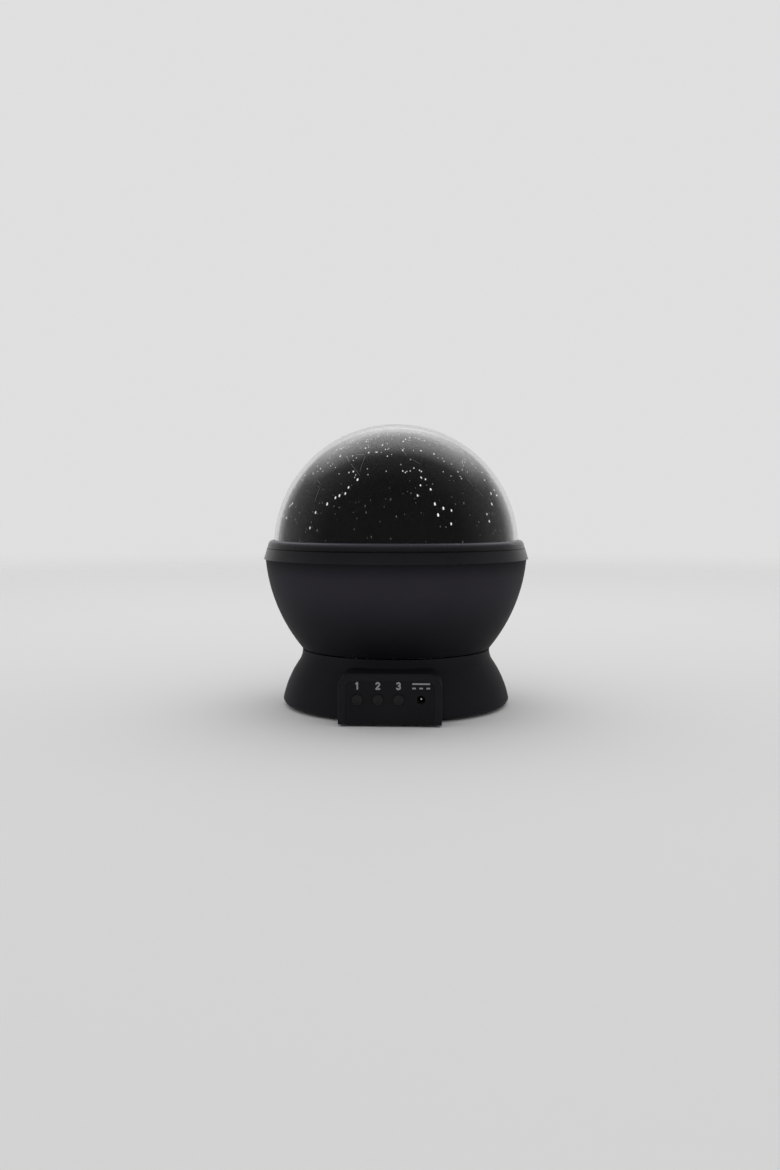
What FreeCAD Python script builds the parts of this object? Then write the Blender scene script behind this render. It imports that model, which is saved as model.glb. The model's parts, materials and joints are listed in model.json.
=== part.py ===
"""Star projector: a base with a control box, a bowl that turns on it, and a domed cover.

Millimetres, +Z up. The origin is on the surface that the feet stand on, on the turning axis.
The control box looks along -Y.
"""
import FreeCAD, Part
import math
import os
import re
import Sketcher

Vector = FreeCAD.Vector
Z_AXIS = Vector(0, 0, 1)

# Driving dimensions: alias, value in millimetres (degrees where it says so), what it is.
SIZES = [
    # Clearances and the overrun of every cut
    ("overrun", 1.0, "how far a cutting tool runs past what it cuts"),
    ("run_gap", 0.05, "radial clearance of a turning fit"),
    ("slide_gap", 0.1, "clearance of a sliding or loose fit"),
    ("end_gap", 0.2, "clearance at the ends of turning and loose pieces"),
    ("lug_gap", 0.15, "clearance of the lock ring on the domes and in the rim"),
    ("free_gap", 0.3, "clearance where nothing fits or bears"),
    ("seam_gap", 0.6, "gap between the base and the turning bowl"),
    # Base shell
    ("foot_proud", 1.0, "how far the feet stand out below the base"),
    ("base_radius", 54.2, "widest radius of the base"),
    ("base_round", 2.5, "rounding of the base's bottom edge"),
    ("base_tall", 25.9, "height of the base shell"),
    ("neck_radius", 44.9, "radius at the seam under the bowl"),
    ("flare_out", 1.7, "how far the flank's upper end stands out past the neck"),
    ("flare_drop", 5.9, "how far that lies below the seam"),
    ("flare_curve", 10.3, "radius of the neck's hollow curve"),
    ("flank_curve", 47.3, "radius of the flank's full curve"),
    ("shell_wall", 2.2, "wall of the base shell"),
    ("gear_well", 4.9, "depth of the well in which the bowl gear turns"),
    ("deck_thick", 2.0, "floor of the gear well"),
    # Surround of the control box and the panel in it
    ("box_wide", 44.9, "width of the control box"),
    ("box_tall", 22.2, "height of the control box"),
    ("box_proud", 5.5, "how far the control box stands out past the base"),
    ("box_corner", 6.2, "radius of the box's top corners"),
    ("box_border", 3.3, "width of the border round the panel"),
    ("box_edge", 0.8, "rounding of the border's front edge"),
    ("panel_corner", 3.4, "radius of the panel's top corners"),
    ("panel_inset", 0.2, "how far the panel lies behind the border"),
    ("panel_wall", 1.8, "thickness of the panel"),
    ("panel_foot", 1.6, "thickness of the panel's foot"),
    # Buttons, switches and the inlet
    ("button_radius", 2.4, "radius of a button"),
    ("button_proud", 0.7, "how far a button stands out of the panel"),
    ("button_round", 0.5, "rounding of a button's front edge"),
    ("button_flange", 3.3, "radius of the flange that keeps a button in"),
    ("flange_thick", 0.8, "thickness of that flange"),
    ("stem_radius", 1.4, "radius of a button's stem"),
    ("stem_long", 0.6, "length of a button's stem"),
    ("button_travel", 0.5, "how far a button presses in"),
    ("plunger_radius", 1.5, "radius of a switch's plunger"),
    ("plunger_proud", 0.9, "how far a plunger stands out of its switch"),
    ("plunger_deep", 0.6, "how far a plunger reaches into its switch"),
    ("switch_wide", 6.0, "side of a square switch"),
    ("switch_deep", 3.3, "depth of a switch body"),
    ("inlet_radius", 1.8, "radius of the inlet's bore"),
    ("inlet_deep", 9.6, "depth of the inlet's bore"),
    ("inlet_wide", 7.0, "width of the inlet's body"),
    ("inlet_tall", 6.6, "height of the inlet's body"),
    ("inlet_long", 11.0, "length of the inlet's body"),
    ("pin_radius", 0.65, "radius of the inlet's centre pin"),
    ("pin_round", 0.4, "rounding of the pin's tip"),
    ("pin_short", 0.8, "how far the pin stays behind the inlet's mouth"),
    ("pin_root", 0.8, "how far the pin is set into the inlet's back"),
    # Button board
    ("board_inset", 1.65, "how far the board stays inside the panel at each side"),
    ("board_drop", 0.7, "how far the board stays below the panel's top"),
    ("board_lift", 3.2, "height of the board's lower edge above the base's bottom"),
    ("board_thick", 1.6, "thickness of the circuit boards"),
    ("board_post", 2.0, "radius of the panel's posts for the board screws"),
    ("board_post_in", 2.3, "how far those posts stay inside the board's sides"),
    ("board_post_lift", 5.2, "height of those posts above the base's bottom"),
    ("chip_wide", 6.0, "width of the control chip"),
    ("chip_tall", 5.0, "height of the control chip"),
    ("chip_thick", 1.5, "thickness of the control chip"),
    ("capacitor_radius", 2.5, "radius of the capacitor"),
    ("capacitor_long", 5.0, "length of the capacitor"),
    # Small screws
    ("screw_radius", 0.9, "shank radius of the small screws"),
    ("screw_head", 1.6, "head radius of the small screws"),
    ("screw_head_tall", 0.9, "head height of the small screws"),
    ("screw_long", 5.0, "shank length of the small screws"),
    ("drive_slot_wide", 0.5, "width of the slots in a screw head's cross"),
    ("drive_slot_deep", 0.4, "depth of that cross"),
    # Base plate, its screws and feet
    ("plate_rim", 1.0, "extra wall of the base round the plate"),
    ("plate_thick", 2.0, "thickness of the base plate"),
    ("boss_inset", 10.0, "distance of the plate's bosses from its edge"),
    ("boss_radius", 3.2, "radius of the plate's bosses"),
    ("rear_boss_angle", 15.0, "degrees from +X to the right rear boss"),
    ("front_boss_angle", -30.0, "degrees from +X to the right front boss"),
    ("plate_screw", 1.2, "shank radius of the plate's screws"),
    ("plate_screw_head", 2.6, "head radius of the plate's screws"),
    ("plate_screw_long", 9.0, "how far the plate's screws reach into their bosses"),
    ("plate_recess", 1.0, "depth of the recesses for the screws' heads"),
    ("foot_radius", 5.0, "radius of a foot"),
    ("foot_seat", 0.8, "how far a foot is let into the plate"),
    ("foot_inset", 7.5, "distance of the feet's centres from the plate's edge"),
    ("foot_apart", 0.9, "room between the battery box and the feet"),
    ("foot_round", 0.4, "rounding of a foot's lower edge"),
    # Battery box and door
    ("cell_radius", 5.25, "radius of a cell"),
    ("cell_long", 44.5, "length of a cell with its button"),
    ("cell_button", 1.9, "radius of a cell's button"),
    ("cell_button_long", 1.0, "length of a cell's button"),
    ("cell_pitch", 10.6, "distance from cell to cell"),
    ("pack_middle", 15.3, "place of the middle of the cells along Y"),
    ("spring_long", 4.5, "length of a pressed battery spring"),
    ("spring_wire", 0.35, "wire radius of a battery spring"),
    ("spring_wide", 3.4, "radius of a spring's wide turn"),
    ("spring_narrow", 2.2, "radius of a spring's narrow turn"),
    ("contact_thick", 0.4, "thickness of a contact plate"),
    ("contact_wide", 8.0, "width of a contact plate"),
    ("contact_tall", 8.6, "height of a contact plate"),
    ("pack_wall", 1.2, "wall of the battery box"),
    ("door_thick", 1.6, "thickness of the battery door"),
    ("door_tab_wide", 6.0, "width of a tab on the door's hinge edge"),
    ("door_tab_long", 1.5, "length of such a tab"),
    ("door_tab_thick", 0.8, "thickness of such a tab"),
    ("door_tab_out", 15.0, "distance of the tabs from the middle"),
    ("door_catch_wide", 10.0, "width of the door's catch"),
    ("door_catch_long", 1.0, "length of the door's catch"),
    ("grip_wide", 12.0, "width of the finger ribs on the door"),
    ("grip_deep", 0.5, "depth of the grooves between the finger ribs"),
    ("grip_groove", 0.8, "width of such a groove"),
    ("grip_pitch", 1.8, "distance from groove to groove"),
    # Gear train
    ("drive_module", 0.8, "module of the bowl gear and its pinion"),
    ("train_module", 0.5, "module of the middle gears"),
    ("motor_module", 0.4, "module of the motor's pinion and the first gear"),
    ("tooth_play", 0.12, "how much thinner than its space each tooth is"),
    ("output_angle", 233.0, "degrees from +X to the output gear, seen from the axis"),
    ("second_angle", 337.0, "degrees from +X to the second gear, seen from the output gear"),
    ("first_angle", 12.0, "degrees from +X to the first gear, seen from the second"),
    ("motor_angle", 15.0, "degrees from +X to the motor, seen from the first gear"),
    ("wheel_thick", 2.0, "thickness of a gear wheel"),
    ("level_gap", 0.6, "free height between gear levels"),
    ("output_lift", 6.4, "height of the output wheel above the tray's underside"),
    ("output_boss_tall", 3.1, "height of the boss that carries the output gear's lower journal"),
    ("gear_drop", 1.0, "free height under the bowl gear"),
    ("pinion_drop", 0.6, "free height under the drive pinion"),
    ("output_shaft", 2.0, "radius of the output gear's shaft"),
    ("output_seat", 1.8, "radius of the shaft where the drive pinion is pressed on"),
    ("output_journal", 1.5, "radius of the output gear's lower journal"),
    ("output_hub", 2.6, "radius of the output gear's lower hub"),
    ("gear_hub", 2.0, "radius of the second gear's upper hub"),
    ("pinion_tall", 4.0, "height of the drive pinion"),
    ("motor_pinion_tall", 2.6, "height of the motor's pinion"),
    ("gear_pin", 0.75, "radius of the gear pins and of the motor's shaft"),
    ("pin_boss", 2.2, "radius of the bosses that carry the gear pins"),
    # Gearbox and motor
    ("tray_lift", 3.0, "height of the tray's underside above the base's bottom"),
    ("tray_floor", 1.2, "floor and wall of the gearbox tray"),
    ("cover_thick", 1.6, "thickness of the gearbox cover"),
    ("tray_edge", 0.8, "room between the gearbox's round side and the base shell"),
    ("tray_left", 31.6, "reach of the gearbox to the left"),
    ("tray_right", 32.0, "reach of the gearbox to the right"),
    ("tray_rear", 9.0, "distance of the gearbox's rear wall from the axis"),
    ("pillar_radius", 2.0, "radius of the gearbox's screw pillars"),
    ("pillar_place", 5.5, "place of the right rear pillar across the gearbox"),
    ("left_pillar_angle", 246.5, "degrees from +X to the left front pillar"),
    ("right_pillar_angle", 285.0, "degrees from +X to the right front pillar"),
    ("motor_radius", 7.8, "radius of the motor can"),
    ("motor_tall", 9.4, "height of the motor can"),
    ("motor_neck", 2.5, "radius of the motor's bearing boss"),
    ("motor_neck_tall", 0.4, "height of the motor's bearing boss"),
    ("cup_wall", 1.2, "wall of the cup that holds the motor"),
    ("cup_tall", 7.8, "height of that cup"),
    ("terminal_wide", 1.6, "width of a motor terminal"),
    ("terminal_thick", 0.4, "thickness of a motor terminal"),
    ("terminal_long", 1.5, "length of a motor terminal"),
    ("terminal_apart", 2.6, "distance between the motor's terminals"),
    ("terminal_lift", 1.8, "height of the terminals above the motor's bottom"),
    ("wire_door", 5.2, "how far the gearbox's door for the motor's lead runs forward of the motor"),
    # Bowl
    ("bowl_step", 0.1, "how far the bowl's lower edge stands out past the neck"),
    ("bowl_tall", 42.5, "height of the bowl shell"),
    ("bowl_radius", 62.3, "radius of the bowl at its upper edge"),
    ("bowl_curve", 77.5, "radius of the bowl's full curve"),
    ("bowl_wall", 2.0, "wall and floor of the bowl"),
    ("hub_radius", 11.5, "radius of the bowl's hub"),
    ("hub_tall", 11.4, "height of the bowl's hub"),
    ("gear_inner", 19.0, "inner radius of the bowl gear's ring"),
    ("gear_screw_ring", 21.0, "distance of the bowl gear's screws from the axis"),
    ("gear_screw_angle", 90.0, "degrees from +X to the first of those screws"),
    ("pillar_inset", 7.0, "distance of the deck's pillars from the bowl's lower edge"),
    ("deck_pillar", 3.4, "radius of the deck's pillars"),
    ("pillar_angle", 30.0, "degrees from +X to the first pillar"),
    ("deck_lift", 34.5, "height of the reflector deck above the bowl's lower edge"),
    ("deck_edge", 0.35, "room between the reflector deck's lower edge and the bowl's inside"),
    ("deck_plate", 1.6, "thickness of the reflector deck"),
    ("deck_hole", 17.0, "radius of the deck's hole for the lamp"),
    ("deck_collar", 1.2, "wall of the collar round that hole"),
    ("deck_collar_tall", 4.5, "height of that collar"),
    # Rim, lock ring and domes
    ("rim_overhang", 0.8, "how far the rim's lower edge stands out past the bowl"),
    ("rim_tall", 5.0, "height of the lower rim band"),
    ("rim_lean", 1.5, "how far the lower band draws in towards its top"),
    ("rim_groove", 0.2, "groove between the lower band and the lock ring"),
    ("ring_tall", 3.7, "height of the lock ring's outer face"),
    ("ring_lean", 0.6, "how far the lock ring's outer face draws in towards its shoulder"),
    ("ring_drop", 1.7, "how far that shoulder lies below the ring's top"),
    ("ring_over", 2.2, "how far the rounded shoulder draws in towards the ring's top"),
    ("ring_round", 2.3, "rounding of that shoulder"),
    ("ring_land", 0.2, "width of the lock ring's flat top"),
    ("rim_skirt", 4.0, "how far the rim's skirt reaches into the bowl"),
    ("rim_skirt_wall", 1.5, "wall of that skirt"),
    ("rim_skirt_draw", 0.15, "how much more than the bowl's inside that skirt draws in"),
    ("ledge_wide", 2.6, "width of the ledge that carries the domes"),
    ("lug_floor", 0.8, "height of the lug channel's floor above the bowl's upper edge"),
    ("lug_leg", 0.6, "thickness of a lug's leg"),
    ("lug_reach", 0.55, "how far a lug's toe reaches outwards"),
    ("lug_toe", 1.2, "height of a lug's toe"),
    ("lug_angle", 8.0, "degrees that a lug spans"),
    ("lug_play", 1.0, "degrees of play each side of a lug in its slot"),
    ("lug_start", 90.0, "degrees from +X to the first lug's start"),
    ("dome_rise", 0.35, "how far the domes' centre lies above the top of the lower band"),
    ("dome_wall", 1.4, "wall of the clear dome"),
    ("flange_proud", 0.55, "how far the domes' flanges stand out past the clear dome"),
    ("flange_deep", 1.5, "height of the clear dome's flange"),
    ("film_gap", 0.6, "gap between the two domes"),
    ("film_wall", 1.0, "wall of the star dome"),
    # Lamp post and lamp
    ("journal_radius", 8.0, "radius of the post where the bowl turns"),
    ("journal_tall", 15.2, "height of that journal above the post's flange"),
    ("post_flange", 18.0, "radius of the post's flange"),
    ("post_flange_thick", 2.0, "thickness of that flange"),
    ("post_bore", 4.0, "radius of the bore for the lamp's lead"),
    ("post_radius", 6.5, "radius of the post above the journal"),
    ("post_tall", 40.5, "height of the post above its flange's underside"),
    ("post_screw_ring", 14.8, "distance of the post's screws from the axis"),
    ("post_boss", 2.4, "radius of the bosses for those screws"),
    ("post_boss_tall", 3.5, "height of those bosses under the deck"),
    ("washer_thick", 0.6, "thickness of the thrust washer"),
    ("washer_wide", 3.0, "width of the thrust washer"),
    ("clip_radius", 10.0, "outer radius of the retaining clip"),
    ("clip_inner", 7.0, "radius of the groove for the clip"),
    ("clip_thick", 0.9, "thickness of the retaining clip"),
    ("clip_span", 280.0, "degrees that the clip spans"),
    ("holder_radius", 14.5, "radius of the lamp holder's plate"),
    ("holder_sleeve", 8.5, "radius of the lamp holder's sleeve"),
    ("holder_sleeve_tall", 8.0, "length of that sleeve"),
    ("holder_plate", 2.0, "thickness of the lamp holder's plate"),
    ("holder_boss", 2.2, "radius of the bosses for the lamp board's screws"),
    ("holder_boss_tall", 3.0, "height of those bosses"),
    ("lamp_board_radius", 13.6, "radius of the lamp board"),
    ("lamp_ring", 6.5, "distance of the lamps from the axis"),
    ("lamp_radius", 2.5, "radius of a lamp"),
    ("lamp_flange", 2.9, "radius of a lamp's collar"),
    ("lamp_flange_tall", 1.0, "height of a lamp's collar"),
    ("lamp_tall", 6.1, "height of a lamp below its rounded tip"),
    ("lamp_screw_ring", 10.8, "distance of the lamp board's screws from the axis"),
    ("lamp_screw_angle", 45.0, "degrees from +X to the first of those screws"),
    # Leads
    ("lead_radius", 0.8, "radius of a two-core lead"),
]

# Counts of teeth and the form of a tooth, in modules
BOWL_TEETH = 60
WHEEL_TEETH = 48
PINION_TEETH = 12
PRESSURE_ANGLE = math.radians(25)
ADDENDUM_SHARE = 1.0
DEDENDUM_SHARE = 1.2
FLANK_STEPS = 3
SPRING_TURNS = 3
SPRING_STEPS = 16
BEND_SHARE = 0.45
DRIVE_SLOT_SHARE = 0.75

# Places on the control panel, as shares of the box's height and of the panel's half width
CONTROL_SHARE = 0.491
FIRST_BUTTON_SHARE = -0.731
BUTTON_PITCH_SHARE = 0.465
INLET_SHARE = 0.705
CHIP_SHARE = -0.47
CAPACITOR_SHARE = 0.105

doc = FreeCAD.newDocument("StarProjector")
sheet = doc.addObject("Spreadsheet::Sheet", "Sizes")
for row, (alias, value, meaning) in enumerate(SIZES, start=1):
    sheet.set("A%d" % row, meaning)
    sheet.set("B%d" % row, str(value))
    sheet.setAlias("B%d" % row, alias)
doc.recompute()
ALIASES = {alias for alias, value, meaning in SIZES}

def drawn_in(depth):
    """How far the bowl's inside has drawn in at a depth below its edge: an arc's fall from its tangent."""
    return ("inside_curve * cos(inside_lean) - sqrt(inside_curve ^ 2"
            " - (inside_curve * sin(inside_lean) + %s) ^ 2)" % depth)


# Sizes that follow from the ones above
DERIVED = {
    "flare_radius": "neck_radius + flare_out",
    "plate_radius": "base_radius - shell_wall - plate_rim",
    "boss_ring": "plate_radius - boss_inset",
    "pack_half": "cell_long / 2 + spring_long / 2 + contact_thick",
    "foot_ring": "plate_radius - foot_inset",
    "foot_place": "pack_half + foot_apart + foot_radius",
    "foot_reach": "sqrt(foot_ring ^ 2 - foot_place ^ 2)",
    "box_reach": "base_radius + box_proud",
    "panel_half": "box_wide / 2 - box_border",
    "control_tall": "box_tall * %s" % CONTROL_SHARE,
    "first_button": "panel_half * %s" % FIRST_BUTTON_SHARE,
    "button_pitch": "panel_half * %s" % BUTTON_PITCH_SHARE,
    "inlet_place": "panel_half * %s" % INLET_SHARE,
    "chip_place": "panel_half * %s" % CHIP_SHARE,
    "capacitor_place": "panel_half * %s" % CAPACITOR_SHARE,
    "board_wide": "2 * (panel_half - board_inset)",
    "board_tall": "box_tall - box_border - board_lift - board_drop",
    "board_post_out": "board_wide / 2 - board_post_in",
    "tray_radius": "flare_radius - shell_wall - tray_edge",
    "bowl_foot": "neck_radius + bowl_step",
    "pillar_ring": "bowl_foot - pillar_inset",
    "inside_curve": "bowl_curve - bowl_wall",
    "inside_wide": "bowl_radius - bowl_foot - bowl_wall / 2",
    "inside_tall": "bowl_tall - bowl_wall",
    "inside_lean": "atan(inside_wide / inside_tall)"
                   " - asin(sqrt(inside_wide ^ 2 + inside_tall ^ 2) / 2 / inside_curve)",
    "deck_draw": drawn_in("bowl_tall - deck_lift"),
    "deck_radius": "bowl_radius - bowl_wall - deck_draw - deck_edge",
    "skirt_draw": drawn_in("rim_skirt") + " + rim_skirt_draw",
    "rim_radius": "bowl_radius + rim_overhang",
    "rim_top_radius": "rim_radius - rim_lean",
    "shoulder_radius": "rim_top_radius - rim_groove / 2 - ring_lean",
    "ring_top_radius": "shoulder_radius - ring_over",
    "dome_radius": "ring_top_radius - ring_land - lug_gap",
    "dome_lift": "rim_tall + dome_rise",
    "dome_flange": "dome_radius + flange_proud",
    "ledge_inner": "dome_flange - ledge_wide",
    "ledge_lift": "dome_lift - flange_deep - film_wall",
}

nodes = {}


def named(expression):
    """Write derived sizes out in full and put the sheet's name before each alias."""
    def written(word):
        name = word.group()
        if name in DERIVED:
            return "(%s)" % named(DERIVED[name])
        return "Sizes." * (name in ALIASES) + name

    return re.sub(r"[a-z][a-z_]*", written, expression)


def size(expression):
    """Work an expression of the sheet's sizes out to a number."""
    return float(sheet.evalExpression(named(expression)))


def bind(thing, **properties):
    """Tie properties of an object to expressions of the sheet's sizes."""
    for name, expression in properties.items():
        thing.setExpression(name, named(expression))


def place(thing, x="0", y="0", z="0", rotation=None):
    """Place an object at expressions of the sheet's sizes."""
    if rotation:
        thing.Placement = FreeCAD.Placement(Vector(), rotation)
    for axis, expression in (("x", x), ("y", y), ("z", z)):
        if expression != "0":
            thing.setExpression("Placement.Base." + axis, named(expression))
    return thing


ALONG = {
    "z": FreeCAD.Rotation(),
    "x": FreeCAD.Rotation(Vector(0, 1, 0), 90),
    "y": FreeCAD.Rotation(Vector(1, 0, 0), -90),
}


def rod(radius, height, x="0", y="0", z="0", along="z", name="Rod"):
    """A round bar that starts at a point and runs along an axis."""
    bar = doc.addObject("Part::Cylinder", name)
    bind(bar, Radius=radius, Height=height)
    return place(bar, x, y, z, ALONG[along])


def block(low, high, name="Block"):
    """A box between two corners, each three expressions."""
    box = doc.addObject("Part::Box", name)
    bind(box, **{side: "(%s) - (%s)" % (top, bottom)
                 for side, bottom, top in zip(("Length", "Width", "Height"), low, high)})
    return place(box, *low)


def cut(base, *tools):
    """Cut tools out of a base."""
    for tool in tools:
        result = doc.addObject("Part::Cut", "Cut")
        result.Base = base
        result.Tool = tool
        base = result
    return base


def fuse(*parts):
    """Join overlapping or touching parts into one solid."""
    result = doc.addObject("Part::MultiFuse", "Fuse")
    result.Shapes = list(parts)
    result.Refine = True
    return result


def common(first, second):
    """Keep what two parts share."""
    result = doc.addObject("Part::Common", "Common")
    result.Base = first
    result.Tool = second
    return result


def group(*parts):
    """Keep separate solids together in one sub-part."""
    result = doc.addObject("Part::Compound", "Group")
    result.Links = list(parts)
    return result


def node(name, thing):
    """Make an object a sub-part with a name of its own."""
    thing.Label = name
    nodes[name] = thing
    return thing


def solid_feature(shape, label="Formed"):
    """Hold a shape that neither a sketch nor a primitive fits."""
    feature = doc.addObject("Part::Feature", label)
    feature.Shape = shape
    return feature


def rounded(base, radius, chosen):
    """Round the edges of an object that a test picks."""
    doc.recompute()
    fillet = doc.addObject("Part::Fillet", "Rounding")
    fillet.Base = base
    value = size(radius)
    fillet.Edges = [(number, value, value) for number, edge in enumerate(base.Shape.Edges, start=1)
                    if chosen(edge)]
    return fillet


def outline(body, plane, corners, name="Outline", holes=(), offset=None):
    """Draw a closed outline on an origin plane of a body.

    A corner is (x, y), or (x, y, radius, side) where an arc arrives at it: side is 1 with the arc's
    centre on the left of the way from the last corner, and -1 with it on the right. A hole is
    (x, y, radius). Each is given in expressions of the sheet's sizes.
    """
    sketch = body.newObject("Sketcher::SketchObject", name)
    feature = [item for item in body.Origin.OriginFeatures if item.Role == plane][0]
    sketch.AttachmentSupport = [(feature, "")]
    sketch.MapMode = "FlatFace"
    if offset:
        sketch.setExpression("AttachmentOffset.Base.z", named(offset))
    spots = [Vector(size(corner[0]), size(corner[1]), 0) for corner in corners]
    ends = []
    for number, corner in enumerate(corners):
        start, stop = spots[number - 1], spots[number]
        if len(corner) == 2:
            sketch.addGeometry(Part.LineSegment(start, stop), False)
            ends.append((1, 2))
            continue
        radius, side = size(corner[2]), corner[3]
        half = (stop - start) / 2
        left = Vector(-half.y, half.x, 0).normalize()
        rise = math.sqrt(radius ** 2 - half.Length ** 2)
        middle = start + half + left * side * (rise - radius)
        sketch.addGeometry(Part.ArcOfCircle(start, middle, stop), False)
        ends.append((1, 2) if side == 1 else (2, 1))
    constrain = Sketcher.Constraint
    for number, corner in enumerate(corners):
        after = (number + 1) % len(corners)
        sketch.addConstraint(constrain("Coincident", number, ends[number][1], after, ends[after][0]))
        for direction, axis, expression, value in (("DistanceX", -2, corner[0], spots[number].x),
                                                   ("DistanceY", -1, corner[1], spots[number].y)):
            if expression == "0":
                sketch.addConstraint(constrain("PointOnObject", number, ends[number][1], axis))
                continue
            index = sketch.addConstraint(constrain(direction, -1, 1, number, ends[number][1], value))
            sketch.setExpression("Constraints[%d]" % index, named(expression))
        if len(corner) > 2:
            index = sketch.addConstraint(constrain("Radius", number, size(corner[2])))
            sketch.setExpression("Constraints[%d]" % index, named(corner[2]))
    for hole in holes:
        x, y, radius = (size(expression) for expression in hole)
        circle = sketch.addGeometry(Part.Circle(Vector(x, y, 0), Z_AXIS, radius), False)
        for direction, expression, value in (("DistanceX", hole[0], x), ("DistanceY", hole[1], y)):
            index = sketch.addConstraint(constrain(direction, -1, 1, circle, 3, value))
            sketch.setExpression("Constraints[%d]" % index, named(expression))
        index = sketch.addConstraint(constrain("Radius", circle, radius))
        sketch.setExpression("Constraints[%d]" % index, named(hole[2]))
    return sketch


def turned(corners, name="Turned"):
    """A body turned about Z from an outline of (radius, height) corners."""
    body = doc.addObject("PartDesign::Body", name)
    sketch = outline(body, "XZ_Plane", corners)
    turn = body.newObject("PartDesign::Revolution", "Turn")
    turn.Profile = sketch
    turn.ReferenceAxis = (sketch, ["V_Axis"])
    turn.Angle = 360
    sketch.Visibility = False
    return body


def extruded(plane, corners, start, depth, holes=(), name="Plate"):
    """A body padded from an outline: along +Z from XY, along -Y from XZ."""
    body = doc.addObject("PartDesign::Body", name)
    sketch = outline(body, plane, corners, holes=holes, offset=start)
    pad = body.newObject("PartDesign::Pad", "Pad")
    pad.Profile = sketch
    bind(pad, Length=depth)
    return body


def screw(x, y, z, length, radius="screw_radius", head="screw_head", head_tall="screw_head_tall",
          up=1, along="z"):
    """A cross-slotted screw: its head's underside at a point, its shank going up or down an axis."""
    sign = "" if up == 1 else "-"
    back = "-" if up == 1 else ""
    spot = {"x": x, "y": y, "z": z}

    def at(shift):
        return {axis: "(%s) + (%s)" % (value, shift) if axis == along else value
                for axis, value in spot.items()}

    shank = rod(radius, length, along=along, **at("0" if up == 1 else "-(%s)" % length))
    cap = rod(head, head_tall, along=along, **at("-(%s)" % head_tall if up == 1 else "0"))
    face = at("%s(%s)" % (back, head_tall))
    slots = []
    across = [axis for axis in "xyz" if axis != along]
    for long_way, short_way in (across, across[::-1]):
        low, high = dict(face), dict(face)
        for axis, reach in ((long_way, "%s * %s" % (head, DRIVE_SLOT_SHARE)),
                            (short_way, "drive_slot_wide / 2")):
            low[axis] = "(%s) - (%s)" % (face[axis], reach)
            high[axis] = "(%s) + (%s)" % (face[axis], reach)
        inner = "(%s) + (%sdrive_slot_deep)" % (face[along], sign)
        outer = "(%s) - (%soverrun)" % (face[along], sign)
        low[along], high[along] = (outer, inner) if up == 1 else (inner, outer)
        slots.append(block([low[axis] for axis in "xyz"], [high[axis] for axis in "xyz"]))
    return cut(fuse(shank, cap), *slots)


def polar(ring, angle):
    """Expressions for a place on a ring about the axis, at an angle in degrees."""
    return "(%s) * cos(%s)" % (ring, angle), "(%s) * sin(%s)" % (ring, angle)


def beside(centre, distance, angle):
    """Expressions for a place at a distance from a centre, at an angle in degrees."""
    x, y = polar(distance, angle)
    return "%s + %s" % (centre[0], x), "%s + %s" % (centre[1], y)


def gear_solid(teeth, module, thickness, bore):
    """A spur gear with involute flanks: tooth 0 points along +X, its lower face lies at height 0.

    A flank is the involute of the base circle from the root up to the tip circle. Below the base
    circle it runs radially. Each tooth is thinned by half the play on either side.
    """
    pitch_radius = module * teeth / 2
    base_radius = pitch_radius * math.cos(PRESSURE_ANGLE)
    tip_radius = pitch_radius + module * ADDENDUM_SHARE
    root_radius = pitch_radius - module * DEDENDUM_SHARE
    involute = math.tan(PRESSURE_ANGLE) - PRESSURE_ANGLE
    half_tooth = math.pi / (2 * teeth) - size("tooth_play") / 4 / pitch_radius + involute

    def half_angle(radius):
        if radius <= base_radius:
            return half_tooth
        roll = math.acos(base_radius / radius)
        return half_tooth - (math.tan(roll) - roll)

    start = max(root_radius, base_radius)
    steps = [start + (tip_radius - start) * step / FLANK_STEPS for step in range(FLANK_STEPS + 1)]
    radii = [root_radius] * (root_radius < base_radius) + steps
    corners = []
    for tooth in range(teeth):
        middle = 2 * math.pi * tooth / teeth
        sides = [(radius, -half_angle(radius)) for radius in radii]
        sides += [(radius, half_angle(radius)) for radius in reversed(radii)]
        for radius, turn in sides:
            corners.append(Vector(radius * math.cos(middle + turn), radius * math.sin(middle + turn), 0))
    face = Part.Face([Part.makePolygon(corners + corners[:1])])
    hole = Part.makeCylinder(bore, thickness)
    return face.extrude(Z_AXIS * thickness).cut(hole)


def mesh_angle(driver_teeth, driver_turn, direction, driven_teeth):
    """The turn in radians at which a gear's teeth stand in the spaces of the gear beside it."""
    phase = (direction - driver_turn) * driver_teeth / (2 * math.pi)
    return direction + math.pi - (0.5 - phase) * 2 * math.pi / driven_teeth


def set_gear(shape, x, y, z, turn):
    """Move a gear to its centre and height and turn it by radians."""
    spot = Vector(size(x), size(y), size(z))
    return shape.transformed(
        FreeCAD.Placement(spot, FreeCAD.Rotation(Z_AXIS, math.degrees(turn))).toMatrix())


def tube_along(points, radius):
    """A round tube along straight runs joined by tangent arcs."""
    edges, start = [], points[0]
    for before, corner, after in zip(points, points[1:], points[2:]):
        way_in, way_out = corner - before, after - corner
        turn = way_in.getAngle(way_out)
        bend = BEND_SHARE * min(way_in.Length, way_out.Length) / math.tan(turn / 2)
        way_in.normalize()
        way_out.normalize()
        trim = bend * math.tan(turn / 2)
        inner = (way_out - way_in).normalize()
        middle = corner + inner * (bend / math.cos(turn / 2) - bend)
        first, last = corner - way_in * trim, corner + way_out * trim
        edges += [Part.LineSegment(start, first).toShape(), Part.Arc(first, middle, last).toShape()]
        start = last
        print("  bend radius %.1f mm" % bend)
    edges.append(Part.LineSegment(start, points[-1]).toShape())
    path = Part.Wire(edges)
    profile = Part.Wire([Part.Circle(points[0], points[1] - points[0], radius).toShape()])
    tube = path.makePipeShell([profile], True, False)
    print("  lead %.1f mm long, volume ratio %.3f"
          % (path.Length, tube.Volume / (math.pi * radius ** 2 * path.Length)))
    return tube


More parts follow.
